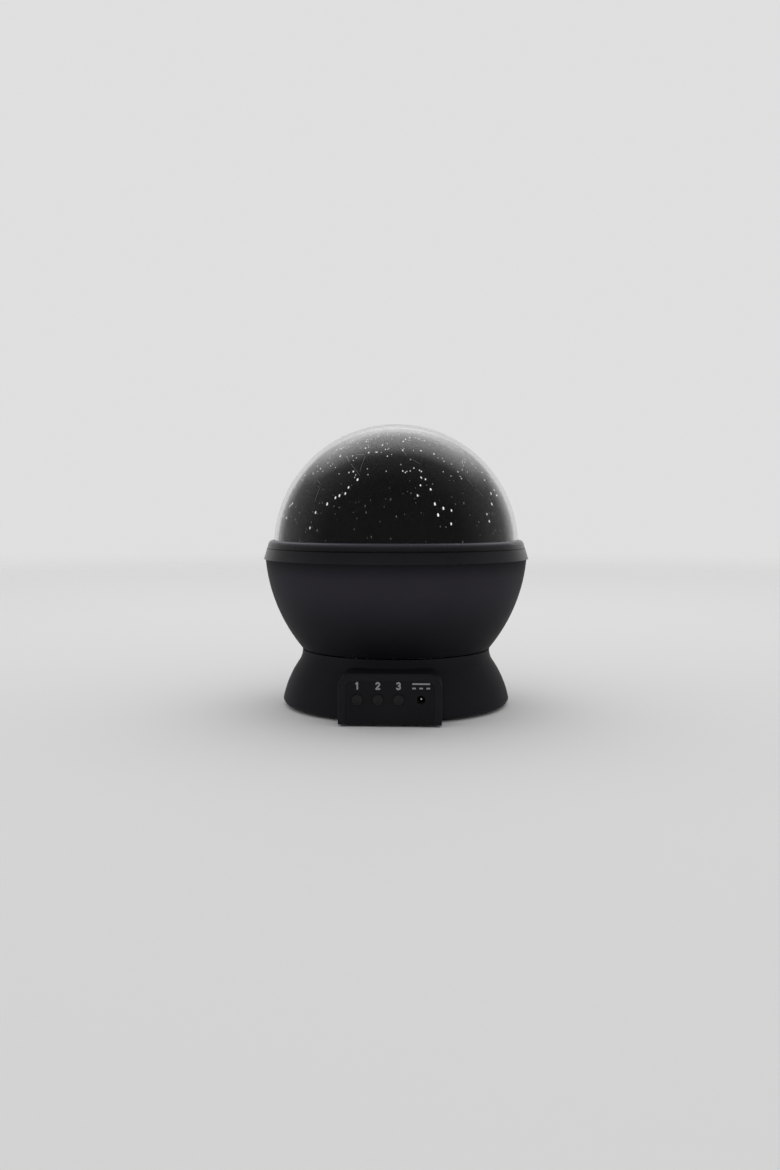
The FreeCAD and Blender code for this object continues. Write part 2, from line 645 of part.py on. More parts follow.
# Heights that several pieces share
BASE_LOW = "foot_proud"
BASE_TOP = "foot_proud + base_tall"
DECK_TOP = "foot_proud + base_tall - gear_well"
DECK_LOW = "foot_proud + base_tall - gear_well - deck_thick"
PLATE_TOP = "foot_proud + plate_thick"
BOWL_LOW = "foot_proud + base_tall + seam_gap"
BOWL_TOP = "foot_proud + base_tall + seam_gap + bowl_tall"
CONTROL_Z = "foot_proud + control_tall"
PANEL_FRONT = "-box_reach + panel_inset"
PANEL_BACK = "-box_reach + panel_inset + panel_wall"
SWITCH_FRONT = PANEL_BACK + " + slide_gap + flange_thick + stem_long + plunger_proud"
BOARD_FRONT = SWITCH_FRONT + " + switch_deep"
BOARD_BACK = BOARD_FRONT + " + board_thick"
BUTTONS = ["first_button + button_pitch * %d" % number for number in range(3)]
FLANGE_TOP = DECK_TOP + " + post_flange_thick"
WASHER_TOP = FLANGE_TOP + " + washer_thick"
HUB_TOP = WASHER_TOP + " + hub_tall"
POST_TOP = DECK_TOP + " + post_tall"
HOLDER_TOP = POST_TOP + " + holder_plate"
DOME_MIDDLE = BOWL_TOP + " + dome_lift"
BOSSES = [(sign, angle) for angle in ("rear_boss_angle", "front_boss_angle") for sign in ("", "-")]

# Gear centres and levels
DRIVE_CENTRES = "drive_module * %d / 2" % (BOWL_TEETH + PINION_TEETH)
TRAIN_CENTRES = "train_module * %d / 2" % (WHEEL_TEETH + PINION_TEETH)
MOTOR_CENTRES = "motor_module * %d / 2" % (WHEEL_TEETH + PINION_TEETH)
OUTPUT_X, OUTPUT_Y = polar(DRIVE_CENTRES, "output_angle")
SECOND_X, SECOND_Y = beside((OUTPUT_X, OUTPUT_Y), TRAIN_CENTRES, "second_angle")
FIRST_X, FIRST_Y = beside((SECOND_X, SECOND_Y), TRAIN_CENTRES, "first_angle")
MOTOR_X, MOTOR_Y = beside((FIRST_X, FIRST_Y), MOTOR_CENTRES, "motor_angle")
TRAY_LOW = "foot_proud + tray_lift"
TRAY_TOP = "foot_proud + tray_lift + tray_floor"
COVER_LOW = DECK_LOW + " - cover_thick"
OUTPUT_Z = TRAY_LOW + " + output_lift"
SECOND_Z = OUTPUT_Z + " + wheel_thick + level_gap"
FIRST_Z = SECOND_Z + " + wheel_thick + level_gap"
LEVEL = "wheel_thick + level_gap"


def base_shell():
    """Flared shell with a gear well on top and the control box's surround on its front."""
    outer = turned([
        ("0", BASE_LOW),
        ("base_radius - base_round", BASE_LOW),
        ("base_radius", BASE_LOW + " + base_round", "base_round", 1),
        ("flare_radius", BASE_TOP + " - flare_drop", "flank_curve", 1),
        ("neck_radius", BASE_TOP, "flare_curve", -1),
        ("0", BASE_TOP),
    ])
    surround = extruded("XZ_Plane", [
        ("-box_wide / 2", BASE_LOW),
        ("box_wide / 2", BASE_LOW),
        ("box_wide / 2", BASE_LOW + " + box_tall - box_corner"),
        ("box_wide / 2 - box_corner", BASE_LOW + " + box_tall", "box_corner", 1),
        ("-box_wide / 2 + box_corner", BASE_LOW + " + box_tall"),
        ("-box_wide / 2", BASE_LOW + " + box_tall - box_corner", "box_corner", 1),
    ], "boss_ring - boss_radius", "box_reach - boss_ring + boss_radius")
    surround = rounded(surround, "box_edge", lambda edge: edge.BoundBox.YMax < size("-box_reach + slide_gap")
                       and edge.BoundBox.ZMax > size("foot_proud + box_edge"))
    hollow = turned([
        ("0", BASE_LOW + " - overrun"),
        ("plate_radius + slide_gap", BASE_LOW + " - overrun"),
        ("plate_radius + slide_gap", BASE_LOW + " + base_round"),
        ("flare_radius - shell_wall", DECK_LOW, "flank_curve - shell_wall", 1),
        ("0", DECK_LOW),
    ])
    well = rod("neck_radius - shell_wall", "gear_well + overrun", z=DECK_TOP)
    wire_hole = rod("post_bore", "deck_thick + 2 * overrun", z=DECK_LOW + " - overrun")
    window = extruded("XZ_Plane", panel_outline("slide_gap"), "boss_ring - boss_radius",
                      "box_reach - boss_ring + boss_radius + overrun")
    shaft_hole = rod("output_hub", "deck_thick + 2 * overrun", OUTPUT_X, OUTPUT_Y, DECK_LOW + " - overrun")
    shell = cut(fuse(outer, surround), hollow, well, wire_hole, window, shaft_hole)
    bosses, pilots = [], []
    for sign, angle in BOSSES:
        x, y = polar("boss_ring", angle)
        bosses.append(rod("boss_radius", "%s - (%s)" % (DECK_LOW, PLATE_TOP), sign + x, y, PLATE_TOP))
        pilots.append(rod("plate_screw", "plate_screw_long + overrun", sign + x, y, PLATE_TOP + " - overrun"))
    for angle in ("0", "90", "180"):
        x, y = polar("post_screw_ring", angle)
        bosses.append(rod("post_boss", "post_boss_tall", x, y, DECK_LOW + " - post_boss_tall"))
        pilots.append(rod("screw_radius", "post_boss_tall + deck_thick + 2 * overrun",
                          x, y, DECK_LOW + " - post_boss_tall - overrun"))
    for x, y in PILLARS:
        pilots.append(rod("screw_radius", "deck_thick + 2 * overrun", x, y, DECK_LOW + " - overrun"))
    node("base_shell", cut(fuse(shell, *bosses), *pilots))


def panel_outline(gap):
    """The panel's front outline, grown by a gap, standing on the base's bottom."""
    half = "panel_half + %s" % gap
    top = "%s + box_tall - box_border + %s" % (BASE_LOW, gap)
    low = BASE_LOW + (" - overrun" if gap != "0" else "")
    return [
        ("-(%s)" % half, low),
        (half, low),
        (half, top + " - panel_corner"),
        (half + " - panel_corner", top, "panel_corner", 1),
        ("-(%s) + panel_corner" % half, top),
        ("-(%s)" % half, top + " - panel_corner", "panel_corner", 1),
    ]


def control_panel():
    """Front plate with button and inlet holes, a foot below and two posts behind."""
    holes = [(x, CONTROL_Z, "button_radius + slide_gap") for x in BUTTONS]
    holes.append(("inlet_place", CONTROL_Z, "inlet_radius + slide_gap"))
    front = extruded("XZ_Plane", panel_outline("0"), "box_reach - panel_inset - panel_wall",
                     "panel_wall", holes=holes)
    half = "panel_half"
    foot = block(["-(%s)" % half, PANEL_BACK + " - panel_wall / 2", BASE_LOW],
                 [half, "-boss_ring", BASE_LOW + " + panel_foot"])
    foot = cut(foot, rod("plate_radius + slide_gap", "panel_foot + 2 * overrun", z=BASE_LOW + " - overrun"))
    posts, pilots = [], []
    for sign in ("", "-"):
        spot = (sign + "board_post_out", BASE_LOW + " + board_post_lift")
        posts.append(rod("board_post", "%s - (%s)" % (BOARD_FRONT, PANEL_BACK), spot[0], PANEL_BACK, spot[1],
                         along="y"))
        pilots.append(rod("screw_radius", "screw_long", spot[0],
                          BOARD_FRONT + " + board_thick - screw_long", spot[1], along="y"))
    node("control_panel", cut(fuse(front, foot, *posts), *pilots))


def buttons():
    """Three buttons, each with a flange behind the panel and a stem on its switch's plunger."""
    for number, x in enumerate(BUTTONS, start=1):
        cap = rod("button_radius", "button_proud + panel_wall + slide_gap", x,
                  PANEL_FRONT + " - button_proud", CONTROL_Z, along="y")
        cap = rounded(cap, "button_round",
                      lambda edge: edge.BoundBox.YMax < size(PANEL_FRONT + " - button_proud / 2"))
        flange = rod("button_flange", "flange_thick", x, PANEL_BACK + " + slide_gap", CONTROL_Z, along="y")
        stem = rod("stem_radius", "stem_long", x, PANEL_BACK + " + slide_gap + flange_thick", CONTROL_Z,
                   along="y")
        node("button_%d" % number, fuse(cap, flange, stem))
        node("switch_plunger_%d" % number,
             rod("plunger_radius", "plunger_proud + plunger_deep", x, SWITCH_FRONT + " - plunger_proud",
                 CONTROL_Z, along="y"))


def button_board():
    """Board behind the panel, with its switches, chip, capacitor, inlet and screws."""
    low = BASE_LOW + " + board_lift"
    board = block(["-board_wide / 2", BOARD_FRONT, low],
                  ["board_wide / 2", BOARD_BACK, low + " + board_tall"])
    notch = block(["inlet_place - inlet_wide / 2 - slide_gap", BOARD_FRONT + " - overrun",
                   CONTROL_Z + " - inlet_tall / 2 - slide_gap"],
                  ["inlet_place + inlet_wide / 2 + slide_gap", BOARD_BACK + " + overrun",
                   CONTROL_Z + " + inlet_tall / 2 + slide_gap"])
    drills, screws = [], []
    for sign in ("", "-"):
        x, z = sign + "board_post_out", BASE_LOW + " + board_post_lift"
        drills.append(rod("screw_radius", "board_thick + 2 * overrun", x, BOARD_FRONT + " - overrun", z,
                          along="y"))
        screws.append(screw(x, BOARD_BACK, z, "screw_long", up=-1, along="y"))
    node("button_board", cut(board, notch, *drills))
    node("board_screws", group(*screws))
    switches = []
    for x in BUTTONS:
        body = block([x + " - switch_wide / 2", SWITCH_FRONT, CONTROL_Z + " - switch_wide / 2"],
                     [x + " + switch_wide / 2", BOARD_FRONT, CONTROL_Z + " + switch_wide / 2"])
        switches.append(cut(body, rod("plunger_radius + slide_gap",
                                      "plunger_deep + button_travel + free_gap + overrun",
                                      x, SWITCH_FRONT + " - overrun", CONTROL_Z, along="y")))
    node("switch_bodies", group(*switches))
    node("board_chip", block(["chip_place - chip_wide / 2", BOARD_BACK, CONTROL_Z + " - chip_tall / 2"],
                             ["chip_place + chip_wide / 2", BOARD_BACK + " + chip_thick",
                              CONTROL_Z + " + chip_tall / 2"]))
    node("board_capacitor", rod("capacitor_radius", "capacitor_long", "capacitor_place", BOARD_BACK,
                                CONTROL_Z, along="y"))
    mouth = PANEL_BACK + " + slide_gap"
    jack = block(["inlet_place - inlet_wide / 2", mouth, CONTROL_Z + " - inlet_tall / 2"],
                 ["inlet_place + inlet_wide / 2", mouth + " + inlet_long", CONTROL_Z + " + inlet_tall / 2"])
    bore = rod("inlet_radius", "inlet_deep + overrun", "inlet_place", mouth + " - overrun", CONTROL_Z,
               along="y")
    root = rod("pin_radius", "pin_root + overrun", "inlet_place", mouth + " + inlet_deep - overrun",
               CONTROL_Z, along="y")
    node("dc_jack", cut(jack, bore, root))
    pin = rod("pin_radius", "inlet_deep + pin_root - pin_short", "inlet_place", mouth + " + pin_short",
              CONTROL_Z, along="y")
    node("jack_pin", rounded(pin, "pin_round",
                             lambda edge: edge.BoundBox.YMax < size(mouth + " + pin_short + pin_radius")))


PACK_HALF_Y = "cell_pitch * 2 + slide_gap"
PACK_FRONT = "pack_middle - (%s)" % PACK_HALF_Y
PACK_REAR = "pack_middle + (%s)" % PACK_HALF_Y
DOOR_TOP = "foot_proud + door_thick"
CELL_Z = DOOR_TOP + " + end_gap + cell_radius"
PACK_ROOF = CELL_Z + " + cell_radius + free_gap"
DOOR_FRONT = PACK_FRONT + " + free_gap"
DOOR_REAR = PACK_REAR + " - free_gap"


def base_plate():
    """Underside plate with the battery box on it, recesses for the feet and screws."""
    plate = rod("plate_radius", "plate_thick", z=BASE_LOW)
    walls = block(["-pack_half - pack_wall", PACK_FRONT + " - pack_wall", PLATE_TOP],
                  ["pack_half + pack_wall", PACK_REAR + " + pack_wall", PACK_ROOF + " + pack_wall"])
    room = block(["-pack_half", PACK_FRONT, BASE_LOW + " - overrun"],
                 ["pack_half", PACK_REAR, PACK_ROOF])
    tools = [room]
    for sign in ("", "-"):
        middle = sign + "door_tab_out"
        tools.append(block([middle + " - door_tab_wide / 2 - free_gap",
                            PACK_FRONT + " - door_tab_long - 2 * free_gap",
                            DOOR_TOP + " - door_tab_thick - slide_gap"],
                           [middle + " + door_tab_wide / 2 + free_gap", PACK_FRONT + " + slide_gap",
                            BASE_LOW + " + door_tab_long + door_tab_thick + free_gap"]))
    tools.append(block(["-door_catch_wide / 2 - free_gap", PACK_REAR + " - slide_gap",
                        BASE_LOW + " - overrun"],
                       ["door_catch_wide / 2 + free_gap", DOOR_REAR + " + door_catch_long + free_gap",
                        DOOR_TOP + " + slide_gap"]))
    screws = []
    for sign, angle in BOSSES:
        x, y = polar("boss_ring", angle)
        tools.append(rod("plate_screw", "plate_thick + 2 * overrun", sign + x, y, BASE_LOW + " - overrun"))
        tools.append(rod("plate_screw_head + free_gap", "plate_recess + overrun", sign + x, y,
                         BASE_LOW + " - overrun"))
        screws.append(screw(sign + x, y, BASE_LOW + " + plate_recess",
                            "plate_thick - plate_recess + plate_screw_long",
                            radius="plate_screw", head="plate_screw_head", head_tall="screw_head_tall"))
    feet = []
    for x, y in (("foot_place", "foot_reach"), ("-foot_place", "foot_reach"),
                 ("-foot_place", "-foot_reach"), ("foot_place", "-foot_reach")):
        tools.append(rod("foot_radius + slide_gap", "foot_seat + overrun", x, y, BASE_LOW + " - overrun"))
        foot = rod("foot_radius", "foot_proud + foot_seat", x, y)
        feet.append(rounded(foot, "foot_round", lambda edge: edge.BoundBox.ZMax < size("foot_round / 2")))
    node("base_plate", cut(fuse(plate, walls), *tools))
    node("base_screws", group(*screws))
    node("feet", group(*feet))


def battery_door():
    """Flat door in the base plate, with two tabs, a catch and finger ribs."""
    half = "pack_half - free_gap"
    leaf = block(["-(%s)" % half, DOOR_FRONT, BASE_LOW], [half, DOOR_REAR, DOOR_TOP])
    tabs = [block([sign + "door_tab_out - door_tab_wide / 2", DOOR_FRONT + " - door_tab_long",
                   DOOR_TOP + " - door_tab_thick"],
                  [sign + "door_tab_out + door_tab_wide / 2", DOOR_FRONT + " + overrun", DOOR_TOP])
            for sign in ("", "-")]
    catch = block(["-door_catch_wide / 2", DOOR_REAR + " - overrun", BASE_LOW],
                  ["door_catch_wide / 2", DOOR_REAR + " + door_catch_long", DOOR_TOP])
    grooves = []
    for number in range(4):
        rear = "%s - grip_pitch * %d" % (DOOR_REAR, number + 1)
        grooves.append(block(["-grip_wide / 2", rear + " - grip_groove", BASE_LOW + " - overrun"],
                             ["grip_wide / 2", rear, BASE_LOW + " + grip_deep"]))
    node("battery_door", cut(fuse(leaf, *tabs, catch), *grooves))


def spring_solid(flip):
    """A conical coil along X from 0: its radius shrinks evenly, and half-turn arcs carry it."""
    wide, narrow, wire = size("spring_wide"), size("spring_narrow"), size("spring_wire")
    free = size("spring_long - 2 * spring_wire")

    def at(turns):
        share = turns / SPRING_TURNS
        radius = wide + (narrow - wide) * share
        angle = 2 * math.pi * turns
        return Vector(flip * (wire + free * share), radius * math.cos(angle), radius * math.sin(angle))

    steps = [at(step / SPRING_STEPS) for step in range(SPRING_STEPS * SPRING_TURNS + 1)]
    gap = min((one - other).Length for one, other in zip(steps, steps[SPRING_STEPS:])) - 2 * wire
    print("battery spring's least gap to itself %.2f mm" % gap)
    arcs = [Part.Arc(at(step / 4), at((step + 0.5) / 4), at((step + 1) / 4)).toShape()
            for step in range(4 * SPRING_TURNS)]
    path = Part.Wire(arcs)
    tangent = arcs[0].tangentAt(arcs[0].FirstParameter)
    profile = Part.Wire([Part.Circle(at(0), tangent, wire).toShape()])
    return path.makePipeShell([profile], True, False)


def battery_pack():
    """Four cells laid side by side, turned end for end, between springs and contact plates."""
    cells, plates, springs = [], [], []
    for number in range(4):
        flip = 1 if number % 2 else -1
        y = "pack_middle + cell_pitch * (%d - 1.5)" % number
        side = "" if flip == 1 else "-"
        tip = "%s(cell_long / 2 + spring_long / 2)" % side
        tail = "%s(cell_long / 2 + spring_long / 2 - cell_long)" % side
        shoulder = "%s(cell_long / 2 + spring_long / 2 - cell_button_long)" % side
        low, high = (tail, shoulder) if flip == 1 else (shoulder, tail)
        can = rod("cell_radius", "cell_long - cell_button_long", low, y, CELL_Z, along="x")
        low = shoulder if flip == 1 else tip
        button = rod("cell_button", "cell_button_long", low, y, CELL_Z, along="x")
        cells.append(fuse(can, button))
        for end in ("", "-"):
            near, far = "cell_long / 2 + spring_long / 2", "pack_half"
            low, high = (near, far) if end == "" else ("-(%s)" % far, "-(%s)" % near)
            plates.append(block([low, y + " - contact_wide / 2", CELL_Z + " - contact_tall / 2"],
                                [high, y + " + contact_wide / 2", CELL_Z + " + contact_tall / 2"]))
        spring = spring_solid(flip)
        spring.translate(Vector(-flip * size("cell_long / 2 + spring_long / 2"), size(y), size(CELL_Z)))
        springs.append(solid_feature(spring, "Spring"))
    node("battery_cells", group(*cells))
    node("battery_contacts", group(*plates))
    node("battery_springs", group(*springs))


PILLARS = [
    ("-tray_left + pillar_radius", "-tray_rear - pillar_radius"),
    ("pillar_place", "-tray_rear - pillar_radius"),
    polar("tray_radius - pillar_radius", "left_pillar_angle"),
    polar("tray_radius - pillar_radius", "right_pillar_angle"),
]


def gearbox_block(inset, low, high):
    """The gearbox's plan between two heights, drawn in by an inset: a box rounded about the axis."""
    plan = block(["-tray_left + (%s)" % inset, "-tray_radius", low],
                 ["tray_right - (%s)" % inset, "-tray_rear - (%s)" % inset, high])
    return common(plan, rod("tray_radius - (%s)" % inset, "(%s) - (%s)" % (high, low), z=low))


def gearbox():
    """Tray with the motor's cup and pin bosses, its cover, pins and screws."""
    shell = cut(gearbox_block("0", TRAY_LOW, COVER_LOW),
                gearbox_block("tray_floor", TRAY_TOP, COVER_LOW + " + overrun"))
    cup = cut(rod("motor_radius + cup_wall", "cup_tall", MOTOR_X, MOTOR_Y, TRAY_TOP),
              rod("motor_radius", "cup_tall + overrun", MOTOR_X, MOTOR_Y, TRAY_TOP))
    adds = [rod("pin_boss", "%s - (%s) - end_gap - (%s)" % (height, LEVEL, TRAY_TOP), x, y, TRAY_TOP)
            for x, y, height in ((SECOND_X, SECOND_Y, SECOND_Z), (FIRST_X, FIRST_Y, FIRST_Z))]
    adds.append(rod("output_hub + free_gap", "output_boss_tall", OUTPUT_X, OUTPUT_Y, TRAY_TOP))
    adds += [rod("pillar_radius", "%s - (%s)" % (COVER_LOW, TRAY_TOP), x, y, TRAY_TOP) for x, y in PILLARS]
    drills = [rod("output_journal + run_gap", "output_boss_tall + overrun", OUTPUT_X, OUTPUT_Y, TRAY_TOP)]
    pins, screws = [], []
    pin_low = TRAY_LOW + " + tray_floor / 2"
    pin_long = "%s - (%s)" % (DECK_LOW, pin_low)
    for x, y in ((SECOND_X, SECOND_Y), (FIRST_X, FIRST_Y)):
        drills.append(rod("gear_pin", pin_long, x, y, pin_low))
        pins.append(rod("gear_pin", pin_long, x, y, pin_low))
    for x, y in PILLARS:
        drills.append(rod("screw_radius", "%s - (%s) + 2 * overrun" % (COVER_LOW, TRAY_LOW), x, y,
                          TRAY_LOW + " - overrun"))
        screws.append(screw(x, y, TRAY_LOW, "%s - (%s) + deck_thick" % (DECK_LOW, TRAY_LOW)))
    door_top = TRAY_TOP + " + terminal_lift + terminal_wide + free_gap"
    slot = block([MOTOR_X, MOTOR_Y + " - terminal_apart", TRAY_TOP],
                 [MOTOR_X + " + motor_radius + cup_wall + overrun", MOTOR_Y + " + terminal_apart", door_top])
    door = block(["tray_right - tray_floor - overrun", MOTOR_Y + " - wire_door", TRAY_TOP],
                 ["tray_right + overrun", MOTOR_Y + " + terminal_apart", door_top])
    node("gearbox_tray", cut(fuse(shell, cup, *adds), *drills, slot, door))
    cover = gearbox_block("0", COVER_LOW, DECK_LOW)
    spacer_low = FIRST_Z + " + wheel_thick + end_gap"
    spacer = rod("pin_boss", "%s - (%s)" % (COVER_LOW, spacer_low), FIRST_X, FIRST_Y, spacer_low)
    through = "cover_thick + 2 * overrun"
    holes = [rod(radius, through, x, y, COVER_LOW + " - overrun")
             for radius, x, y in (("output_shaft + run_gap", OUTPUT_X, OUTPUT_Y),
                                  ("motor_neck", MOTOR_X, MOTOR_Y))]
    holes += [rod("gear_pin", "%s - (%s) + overrun" % (DECK_LOW, SECOND_Z), x, y, SECOND_Z)
              for x, y in ((SECOND_X, SECOND_Y), (FIRST_X, FIRST_Y))]
    holes += [rod("screw_radius", through, x, y, COVER_LOW + " - overrun") for x, y in PILLARS]
    node("gearbox_cover", cut(fuse(cover, spacer), *holes))
    node("gear_pins", group(*pins))
    node("gearbox_screws", group(*screws))


def motor():
    """Motor can in its cup, with two terminals, and the shaft that turns in it."""
    can = rod("motor_radius", "motor_tall", MOTOR_X, MOTOR_Y, TRAY_TOP)
    neck = rod("motor_neck", "motor_neck_tall", MOTOR_X, MOTOR_Y, TRAY_TOP + " + motor_tall")
    bore = rod("gear_pin + run_gap", "motor_tall + overrun", MOTOR_X, MOTOR_Y, TRAY_TOP + " + tray_floor")
    node("motor_can", cut(fuse(can, neck), bore))
    terminals = []
    outer = MOTOR_X + " + motor_radius"
    low = TRAY_TOP + " + terminal_lift"
    for sign in ("-", "+"):
        y = "%s %s terminal_apart / 2" % (MOTOR_Y, sign)
        terminals.append(block([outer, y + " - terminal_thick / 2", low],
                               [outer + " + terminal_long", y + " + terminal_thick / 2",
                                low + " + terminal_wide"]))
    node("motor_terminals", group(*terminals))
    low = TRAY_TOP + " + tray_floor + slide_gap"
    node("motor_shaft", rod("gear_pin", "%s + wheel_thick + slide_gap - (%s)" % (FIRST_Z, low),
                            MOTOR_X, MOTOR_Y, low))


def bowl_gear(turn):
    """Toothed ring under the bowl, with its three screws sunk into its lower face."""
    low = DECK_TOP + " + gear_drop"
    ring = gear_solid(BOWL_TEETH, size("drive_module"), size("%s - (%s)" % (BOWL_LOW, low)),
                      size("gear_inner"))
    ring = set_gear(ring, "0", "0", low, turn)
    screws = []
    for third in range(3):
        x, y = polar("gear_screw_ring", "gear_screw_angle + %d" % (120 * third))
        spot = Vector(size(x), size(y), size(low + " - overrun"))
        ring = ring.cut(Part.makeCylinder(size("screw_radius"), size("base_tall"), spot))
        ring = ring.cut(Part.makeCylinder(size("screw_head + slide_gap"),
                                          size("overrun + screw_head_tall + slide_gap"), spot))
        screws.append(screw(x, y, low + " + screw_head_tall + slide_gap", "screw_long"))
    node("bowl_gear", solid_feature(ring, "BowlGear"))
    node("gear_screws", group(*screws))


def gears():
    """The bowl gear and the train that drives it, every pair in mesh at rest."""
    turn = 0.0
    bowl_gear(turn)

    direction = math.radians(size("output_angle"))
    output_turn = mesh_angle(BOWL_TEETH, turn, direction, PINION_TEETH)
    pinion = gear_solid(PINION_TEETH, size("drive_module"), size("pinion_tall"), size("output_seat"))
    pinion_low = DECK_TOP + " + pinion_drop"
    pinion = set_gear(pinion, OUTPUT_X, OUTPUT_Y, pinion_low, output_turn)
    node("drive_pinion", solid_feature(pinion, "DrivePinion"))
    wheel = gear_solid(WHEEL_TEETH, size("train_module"), size("wheel_thick"), size("output_journal"))
    wheel = set_gear(wheel, OUTPUT_X, OUTPUT_Y, OUTPUT_Z, output_turn)
    spot = Vector(size(OUTPUT_X), size(OUTPUT_Y), 0)
    for radius, low, high in (("output_journal", TRAY_TOP + " + slide_gap", OUTPUT_Z + " + wheel_thick"),
                              ("output_hub", TRAY_TOP + " + output_boss_tall + end_gap", OUTPUT_Z),
                              ("output_shaft", OUTPUT_Z + " + wheel_thick", pinion_low),
                              ("output_seat", pinion_low, pinion_low + " + pinion_tall")):
        bar = Part.makeCylinder(size(radius), size("(%s) - (%s)" % (high, low)), spot + Z_AXIS * size(low))
        wheel = wheel.fuse(bar)
    node("output_gear", solid_feature(wheel.removeSplitter(), "OutputGear"))

    direction = math.radians(size("second_angle"))
    second_turn = mesh_angle(WHEEL_TEETH, output_turn, direction, PINION_TEETH)
    second = compound_gear("train_module", SECOND_X, SECOND_Y, SECOND_Z, second_turn)
    spot = Vector(size(SECOND_X), size(SECOND_Y), size(SECOND_Z + " + wheel_thick"))
    hub_tall = size("%s - end_gap - (%s) - wheel_thick" % (COVER_LOW, SECOND_Z))
    hub = Part.makeCylinder(size("gear_hub"), hub_tall, spot)
    hub = hub.cut(Part.makeCylinder(size("gear_pin + run_gap"), hub_tall, spot))
    node("second_gear", solid_feature(second.fuse(hub).removeSplitter(), "SecondGear"))

    direction = math.radians(size("first_angle"))
    first_turn = mesh_angle(WHEEL_TEETH, second_turn, direction, PINION_TEETH)
    first = compound_gear("motor_module", FIRST_X, FIRST_Y, FIRST_Z, first_turn)
    node("first_gear", solid_feature(first, "FirstGear"))

    direction = math.radians(size("motor_angle"))
    motor_turn = mesh_angle(WHEEL_TEETH, first_turn, direction, PINION_TEETH)
    pinion = gear_solid(PINION_TEETH, size("motor_module"), size("motor_pinion_tall"), size("gear_pin"))
    pinion_low = FIRST_Z + " + wheel_thick / 2 - motor_pinion_tall / 2"
    pinion = set_gear(pinion, MOTOR_X, MOTOR_Y, pinion_low, motor_turn)
    node("motor_pinion", solid_feature(pinion, "MotorPinion"))


def compound_gear(wheel_module, x, y, z, turn):
    """A wheel with a pinion of the train's module under it, on one bore."""
    bore = size("gear_pin + run_gap")
    wheel = set_gear(gear_solid(WHEEL_TEETH, size(wheel_module), size("wheel_thick"), bore), x, y, z, turn)
    low = "%s - (%s)" % (z, LEVEL)
    pinion = set_gear(gear_solid(PINION_TEETH, size("train_module"), size(LEVEL), bore), x, y, low, turn)
    return wheel.fuse(pinion).removeSplitter()


def bowl_shell():
    """The turning bowl: curved wall, floor, hub on the lamp post, pillars for the deck."""
    floor_top = BOWL_LOW + " + bowl_wall"
    shell = turned([
        ("journal_radius + run_gap", WASHER_TOP),
        ("hub_radius", WASHER_TOP),
        ("hub_radius", BOWL_LOW),
        ("bowl_foot", BOWL_LOW),
        ("bowl_radius", BOWL_TOP, "bowl_curve", 1),
        ("bowl_radius - bowl_wall", BOWL_TOP),
        ("bowl_foot - bowl_wall / 2", floor_top, "bowl_curve - bowl_wall", -1),
        ("hub_radius", floor_top),
        ("hub_radius", HUB_TOP),
        ("journal_radius + run_gap", HUB_TOP),
    ])
    pillars, pilots, screws = [], [], []
    deck_low = BOWL_LOW + " + deck_lift"
    for third in range(3):
        x, y = polar("pillar_ring", "pillar_angle + %d" % (120 * third))
        pillars.append(rod("deck_pillar", "deck_lift - bowl_wall / 2", x, y, BOWL_LOW + " + bowl_wall / 2"))
        pilots.append(rod("screw_radius", "screw_long + overrun", x, y,
                          deck_low + " + deck_plate - screw_long"))
        screws.append(screw(x, y, deck_low + " + deck_plate", "screw_long", up=-1))
        x, y = polar("gear_screw_ring", "gear_screw_angle + %d" % (120 * third))
        pillars.append(rod("screw_head", "bowl_wall * 2", x, y, BOWL_LOW))
        pilots.append(rod("screw_radius", "bowl_wall * 3 / 2 + overrun", x, y, BOWL_LOW + " - overrun"))
    node("bowl_shell", cut(fuse(shell, *pillars), *pilots))
    node("deck_screws", group(*screws))


def bowl_deck():
    """Reflector deck with a collar round the lamp's hole."""
    low = BOWL_LOW + " + deck_lift"
    deck = turned([
        ("deck_hole", low),
        ("deck_radius", low),
        ("deck_radius", low + " + deck_plate"),
        ("deck_hole + deck_collar", low + " + deck_plate"),
        ("deck_hole + deck_collar", low + " + deck_collar_tall"),
        ("deck_hole", low + " + deck_collar_tall"),
    ])
    drills = []
    for third in range(3):
        x, y = polar("pillar_ring", "pillar_angle + %d" % (120 * third))
        drills.append(rod("screw_radius", "deck_plate + 2 * overrun", x, y, low + " - overrun"))
    node("bowl_deck", cut(deck, *drills))


RING_LIP = DOME_MIDDLE + " + lug_gap"
LUG_LOW = BOWL_TOP + " + lug_floor + end_gap"
LUG_INNER = "dome_flange + lug_gap"
LUG_OUTER = LUG_INNER + " + lug_leg"
CHANNEL = LUG_OUTER + " + lug_reach + slide_gap"


def sector(radius, height, z, start, span):
    """A wedge of a disc between two angles in degrees."""
    wedge = rod(radius, height, z=z)
    bind(wedge, Angle=span)
    wedge.Placement = FreeCAD.Placement(Vector(), FreeCAD.Rotation(Z_AXIS, size(start)))
    return wedge


